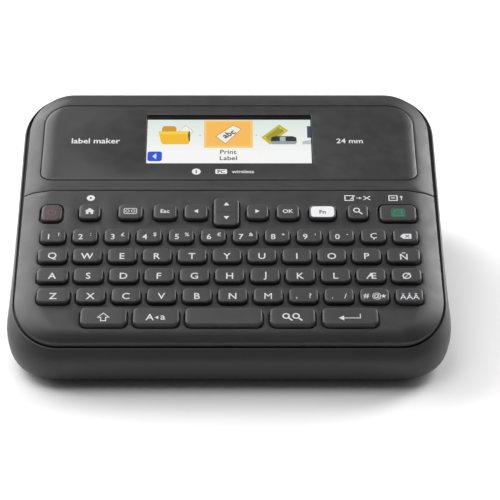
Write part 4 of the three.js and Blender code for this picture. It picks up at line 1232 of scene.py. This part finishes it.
def draw_star(marks, at):
    """A star whose ten corners lie on two circles by turns."""
    angle = np.radians(90 + 36 * np.arange(10))
    reach = np.where(np.arange(10) % 2 == 0, 1.35, 0.55)
    marks.patch(on_circle(at, reach, angle))


row_marks = {node: printed_on(plans[node][0][2]) for node in KEY_ROWS}
marks = row_marks["number_keys"]
for plan, digit, sign in zip(plans["number_keys"], DIGITS, SIGNS):
    marks.text(digit, DIGIT_SIZE, middle_of(plan) + (-1.9, -0.2), bold=LETTER_BOLD)
    marks.text(sign, SIGN_SIZE, middle_of(plan) + (2.7, 1.2), bold=0.04)
marks.text("Ç", DIGIT_SIZE, middle_of(plans["number_keys"][10]), bold=LETTER_BOLD)
draw_delete(marks, middle_of(plans["number_keys"][11]))
for node, letters in LETTERS.items():
    for plan, letter in zip(plans[node], letters):
        bold = 0.0 if letter == "M" else LETTER_BOLD
        row_marks[node].text(letter, LETTER_SIZE, middle_of(plan), bold=bold)
marks = row_marks["lower_letter_keys"]
tail_plans = plans["lower_letter_keys"][len(LETTERS["lower_letter_keys"]):]
for plan, words in zip(tail_plans, (",    ?", ".    /", "# @", "ÄÅÃ")):
    marks.text(words, 4.3, middle_of(plan) + (-1.1 * (words == "# @"), 0), bold=0.02)
draw_star(marks, middle_of(tail_plans[2]) + (3.9, 0))
for node, marks in row_marks.items():
    marks.made(node + "_legends", legend_ink, node, "white_key")

# ---- Panel and deck printing -----------------------------------------------------------
# Plain words on the panel and small signs over the keys, printed straight on the shell.

PANEL_INK = (0.8, 0.8, 0.8)
WORDS_U = 129.5
BADGE_U = 108.0
SIGNS_U = 89.9
BLACK_INK = (0.02, 0.02, 0.02)


marks = printed_on(DECK_RISE, PANEL_INK)
marks.text("label maker", 5.0, (-64.0, WORDS_U), bold=0.07)
marks.text("24 mm", 4.6, (58.0, WORDS_U), bold=0.05)
marks.patch(disc((-15.5, BADGE_U), 2.1))
marks.text("i", 3.2, (-15.5, BADGE_U), BLACK_INK, 1, 0.1)
marks.patch(box_outline((-6.5, -0.9), (BADGE_U - 1.6, BADGE_U + 1.6), 0.5))
marks.text("PC", 3.0, (-3.7, BADGE_U), (0.03, 0.03, 0.03), 1, 0.06)
marks.text("wireless", 3.2, (6.6, BADGE_U), bold=0.03)
marks.made("panel_words", legend_ink, "case", "white_key")

marks = printed_on(DECK_RISE, PANEL_INK)
home, search, feed_out = (
    np.array([middle_of(plans[node][0])[0], SIGNS_U])
    for node in ("key_home", "key_search", "key_print"))
marks.patch(disc(home, 1.9))
marks.patch(disc(home, 0.55, 12), BLACK_INK, 1)
marks.stroke(search + box_outline((-5.6, -1.8), (-1.6, 1.6)), 0.5, closed=True)
marks.stroke([search + (-3.1, -0.9), search + (-0.9, 1.7)], 0.45)
marks.stroke([search + (-0.4, 0), search + (1.2, 0)], 0.35)
marks.patch(arrowhead(search + (2.3, 0), 1.2, (1, 0)))
for side in (-1, 1):
    marks.stroke([search + (3.0, side * 1.3), search + (6.2, side * -1.3)], 0.5)
marks.stroke(feed_out + box_outline((-3.6, 0.2), (-1.6, 1.6)), 0.5, closed=True)
marks.patch(feed_out + box_outline((-2.7, -0.7), (-0.2, 0.4)))
marks.stroke([feed_out + (2.2, -1.4), feed_out + (2.2, 0.6)], 0.4)
marks.patch(arrowhead(feed_out + (2.2, 1.7), 1.3, (0, 1)))
marks.made("deck_signs", legend_ink, "case", "white_key")

# ---- Feet ------------------------------------------------------------------------------
# Four round rubber pads glued into shallow rings under the case, with a rolled edge and a
# dished underside.

FEET = ["foot_front_left", "foot_front_right", "foot_rear_left", "foot_rear_right"]
FOOT_CORNER = 0.35


def turned(profile, centre, sides=48):
    """A turned solid: the (radius, height) profile swept round, its ends on the axis."""
    profile = np.array(profile, float)
    angle = np.arange(sides) * 2 * math.pi / sides
    inner = profile[1:-1]
    rings = np.stack([inner[:, :1] * np.cos(angle), inner[:, :1] * np.sin(angle),
                      np.broadcast_to(inner[:, 1:], (len(inner), sides))], -1)
    points = np.vstack([rings.reshape(-1, 3), [(0, 0, profile[0, 1]), (0, 0, profile[-1, 1])]])
    index = np.arange(len(inner) * sides).reshape(len(inner), sides)
    following = np.roll(index, -1, 1)
    quads = np.stack([index[:-1], following[:-1], following[1:], index[1:]], -1).reshape(-1, 4)
    first, last = len(points) - 2, len(points) - 1
    fans = [[first, b, a] for a, b in zip(index[0], following[0])]
    fans += [[last, a, b] for a, b in zip(index[-1], following[-1])]
    return points + centre, quads.tolist() + fans


rubber = plastic("foot_rubber", (0.02, 0.02, 0.021), 0.78, grain=0.5, relief=0.03, worn=0.2)
for node in FEET:
    low, high = node_box(node)
    r, tall = (high[0] - low[0]) / 2, high[2] - low[2]
    profile = [(0, 0.3), (r * 0.6, 0.3), (r * 0.72, 0.0), (r - FOOT_CORNER, 0.0),
               (r - 0.1, 0.12), (r, FOOT_CORNER), (r, tall), (0, tall)]
    foot = mesh_object(node + "_pad", *turned(profile, ((low[0] + high[0]) / 2, (low[1] + high[1]) / 2, 0)))
    fit(foot, rubber, "case", "foot", node)

# ---- Works inside ----------------------------------------------------------------------
# The moulded frame, gears, rollers, motor, board, cassette and cells keep their built
# shapes. Each gets the finish of its stuff.


def metal(name, colour, roughness, along, streak):
    """Rolled or turned metal: noise drawn out along one axis makes fine parallel lines."""
    made, tree, shader, place = new_finish(name)
    drawn = wire(tree, "Mapping", Vector=place, Scale=along).outputs["Vector"]
    lines = noise(tree, drawn, streak, 4.0)
    colour = np.array(colour)
    tone = blend(tree, spread(tree, lines, 0.3, 0.7, 0.0, 1.0), colour * 0.85, colour)
    feed(shader, Base_Color=tone)
    sheen = spread(tree, lines, 0.3, 0.7, roughness - 0.08, roughness + 0.08)
    feed(shader, Roughness=sheen, Metallic=1.0)
    raise_bumps(tree, shader, lines, 0.01)
    return made


def wound(name, colour, node, pitch, roughness):
    """Film wound on a core: rings round an axle along Y, as fine steps of tone and height."""
    made, tree, shader, place = new_finish(name)
    centre = node_box(node).mean(0) * MM
    flat = wire(tree, "Mapping", Vector=place, Location=(-centre[0], 0.0, -centre[2]),
                Scale=(1.0, 0.0, 1.0)).outputs["Vector"]
    away = tree.nodes.new("ShaderNodeVectorMath")
    away.operation = "LENGTH"
    tree.links.new(flat, away.inputs[0])
    turns = tree.nodes.new("ShaderNodeMath")
    turns.operation = "PINGPONG"
    tree.links.new(away.outputs["Value"], turns.inputs[0])
    turns.inputs[1].default_value = pitch * MM
    share = spread(tree, turns.outputs["Value"], 0.0, pitch * MM, 0.0, 1.0)
    colour = np.array(colour)
    tone = blend(tree, share, colour * 0.72, colour)
    feed(shader, Base_Color=tone)
    sheen = mottle(tree, place, 3, roughness - 0.05, roughness + 0.05)
    feed(shader, Roughness=sheen)
    raise_bumps(tree, shader, share, 0.02)
    return made


def solder_mask(name):
    """Circuit board: a green mask whose copper lines show as a grid of raised paler cells."""
    made, tree, shader, place = new_finish(name)
    lines = wire(tree, "TexBrick", Vector=place, Scale=1 / (4 * MM)).outputs["Fac"]
    copper = blend(tree, lines, (0.012, 0.11, 0.045), (0.03, 0.2, 0.09))
    feed(shader, Base_Color=copper, Roughness=mottle(tree, place, 5, 0.28, 0.4))
    raise_bumps(tree, shader, lines, 0.03)
    return made


def cell_sleeve(name, low, high):
    """Battery sleeve: plain ochre with a pale ring near the top, and bare metal ends."""
    made, tree, shader, place = new_finish(name)
    height = wire(tree, "SeparateXYZ", Vector=place).outputs["Z"]
    share = spread(tree, height, low * MM, high * MM, 0.0, 1.0)
    ramp = tree.nodes.new("ShaderNodeValToRGB")
    ramp.color_ramp.interpolation = "CONSTANT"
    bare, ochre, pale = (0.5, 0.5, 0.5), (0.42, 0.3, 0.1), (0.62, 0.6, 0.54)
    bands = [(0.0, bare), (0.02, ochre), (0.8, pale), (0.86, ochre), (0.955, bare)]
    stops = ramp.color_ramp.elements
    for index, (place_along, colour) in enumerate(bands):
        stop = stops[index] if index < 2 else stops.new(place_along)
        stop.position = place_along
        stop.color = (*colour, 1)
    tree.links.new(share, ramp.inputs["Fac"])
    feed(shader, Base_Color=ramp.outputs["Color"], Roughness=mottle(tree, place, 2, 0.26, 0.36))
    feed(shader, Metallic=0.35)
    return made


cell_low, cell_high = node_box("battery_1")
frame_grey = plastic("frame_plastic", (0.085, 0.085, 0.092), 0.55, grain=0.6, relief=0.02)
cassette_grey = plastic("cassette_plastic", (0.3, 0.31, 0.33), 0.42, grain=0.4, relief=0.01, worn=0.2)
acetal = plastic("gear_acetal", (0.74, 0.72, 0.64), 0.38, grain=0.8, relief=0.006, worn=0.1)
roller_rubber = plastic("roller_rubber", (0.03, 0.03, 0.031), 0.7, grain=0.25, relief=0.02, worn=0.1)
brushed_steel = metal("brushed_steel", (0.58, 0.59, 0.6), 0.34, (1.0, 0.05, 1.0), 0.12)
turned_brass = metal("turned_brass", (0.62, 0.45, 0.16), 0.28, (1.0, 0.05, 1.0), 0.15)
INSIDE = {
    "tape_frame": frame_grey, "battery_holder": frame_grey, "head_arm": brushed_steel,
    "release_lever": frame_grey, "tape_cassette": cassette_grey, "platen_gear": acetal,
    "feed_gear": acetal, "idler_gear": acetal, "motor_pinion": turned_brass,
    "platen_roller": roller_rubber, "feed_roller": roller_rubber, "drive_motor": brushed_steel,
    "print_head": metal("head_ceramic", (0.5, 0.48, 0.42), 0.4, (0.1, 1.0, 1.0), 0.2),
    "cutter_blade": metal("blade_steel", (0.7, 0.71, 0.73), 0.2, (1.0, 1.0, 0.05), 0.1),
    "battery_contact_top": metal("contact_plating", (0.66, 0.64, 0.58), 0.3, (1.0, 0.1, 1.0), 0.2),
    "battery_contact_bottom": metal("contact_plating_low", (0.66, 0.64, 0.58), 0.3, (1.0, 0.1, 1.0), 0.2),
    "main_board": solder_mask("board_mask"),
    "key_contact_board": solder_mask("key_board_mask"),
    "tape_spool": wound("tape_film", (0.82, 0.81, 0.76), "tape_spool", 0.3, 0.4),
    "ribbon_spool": wound("ribbon_film", (0.03, 0.03, 0.04), "ribbon_spool", 0.25, 0.25),
    "dc_inlet": plastic("inlet_plastic", (0.02, 0.02, 0.022), 0.45, grain=0.3, relief=0.01),
    "usb_port": metal("port_shell", (0.55, 0.56, 0.58), 0.3, (0.1, 1.0, 1.0), 0.15),
}
for k in range(1, 7):
    INSIDE[f"battery_{k}"] = cell_sleeve(f"cell_sleeve_{k}", cell_low[2], cell_high[2])
for node, finish in INSIDE.items():
    nodes[node].data.materials.clear()
    nodes[node].data.materials.append(finish)
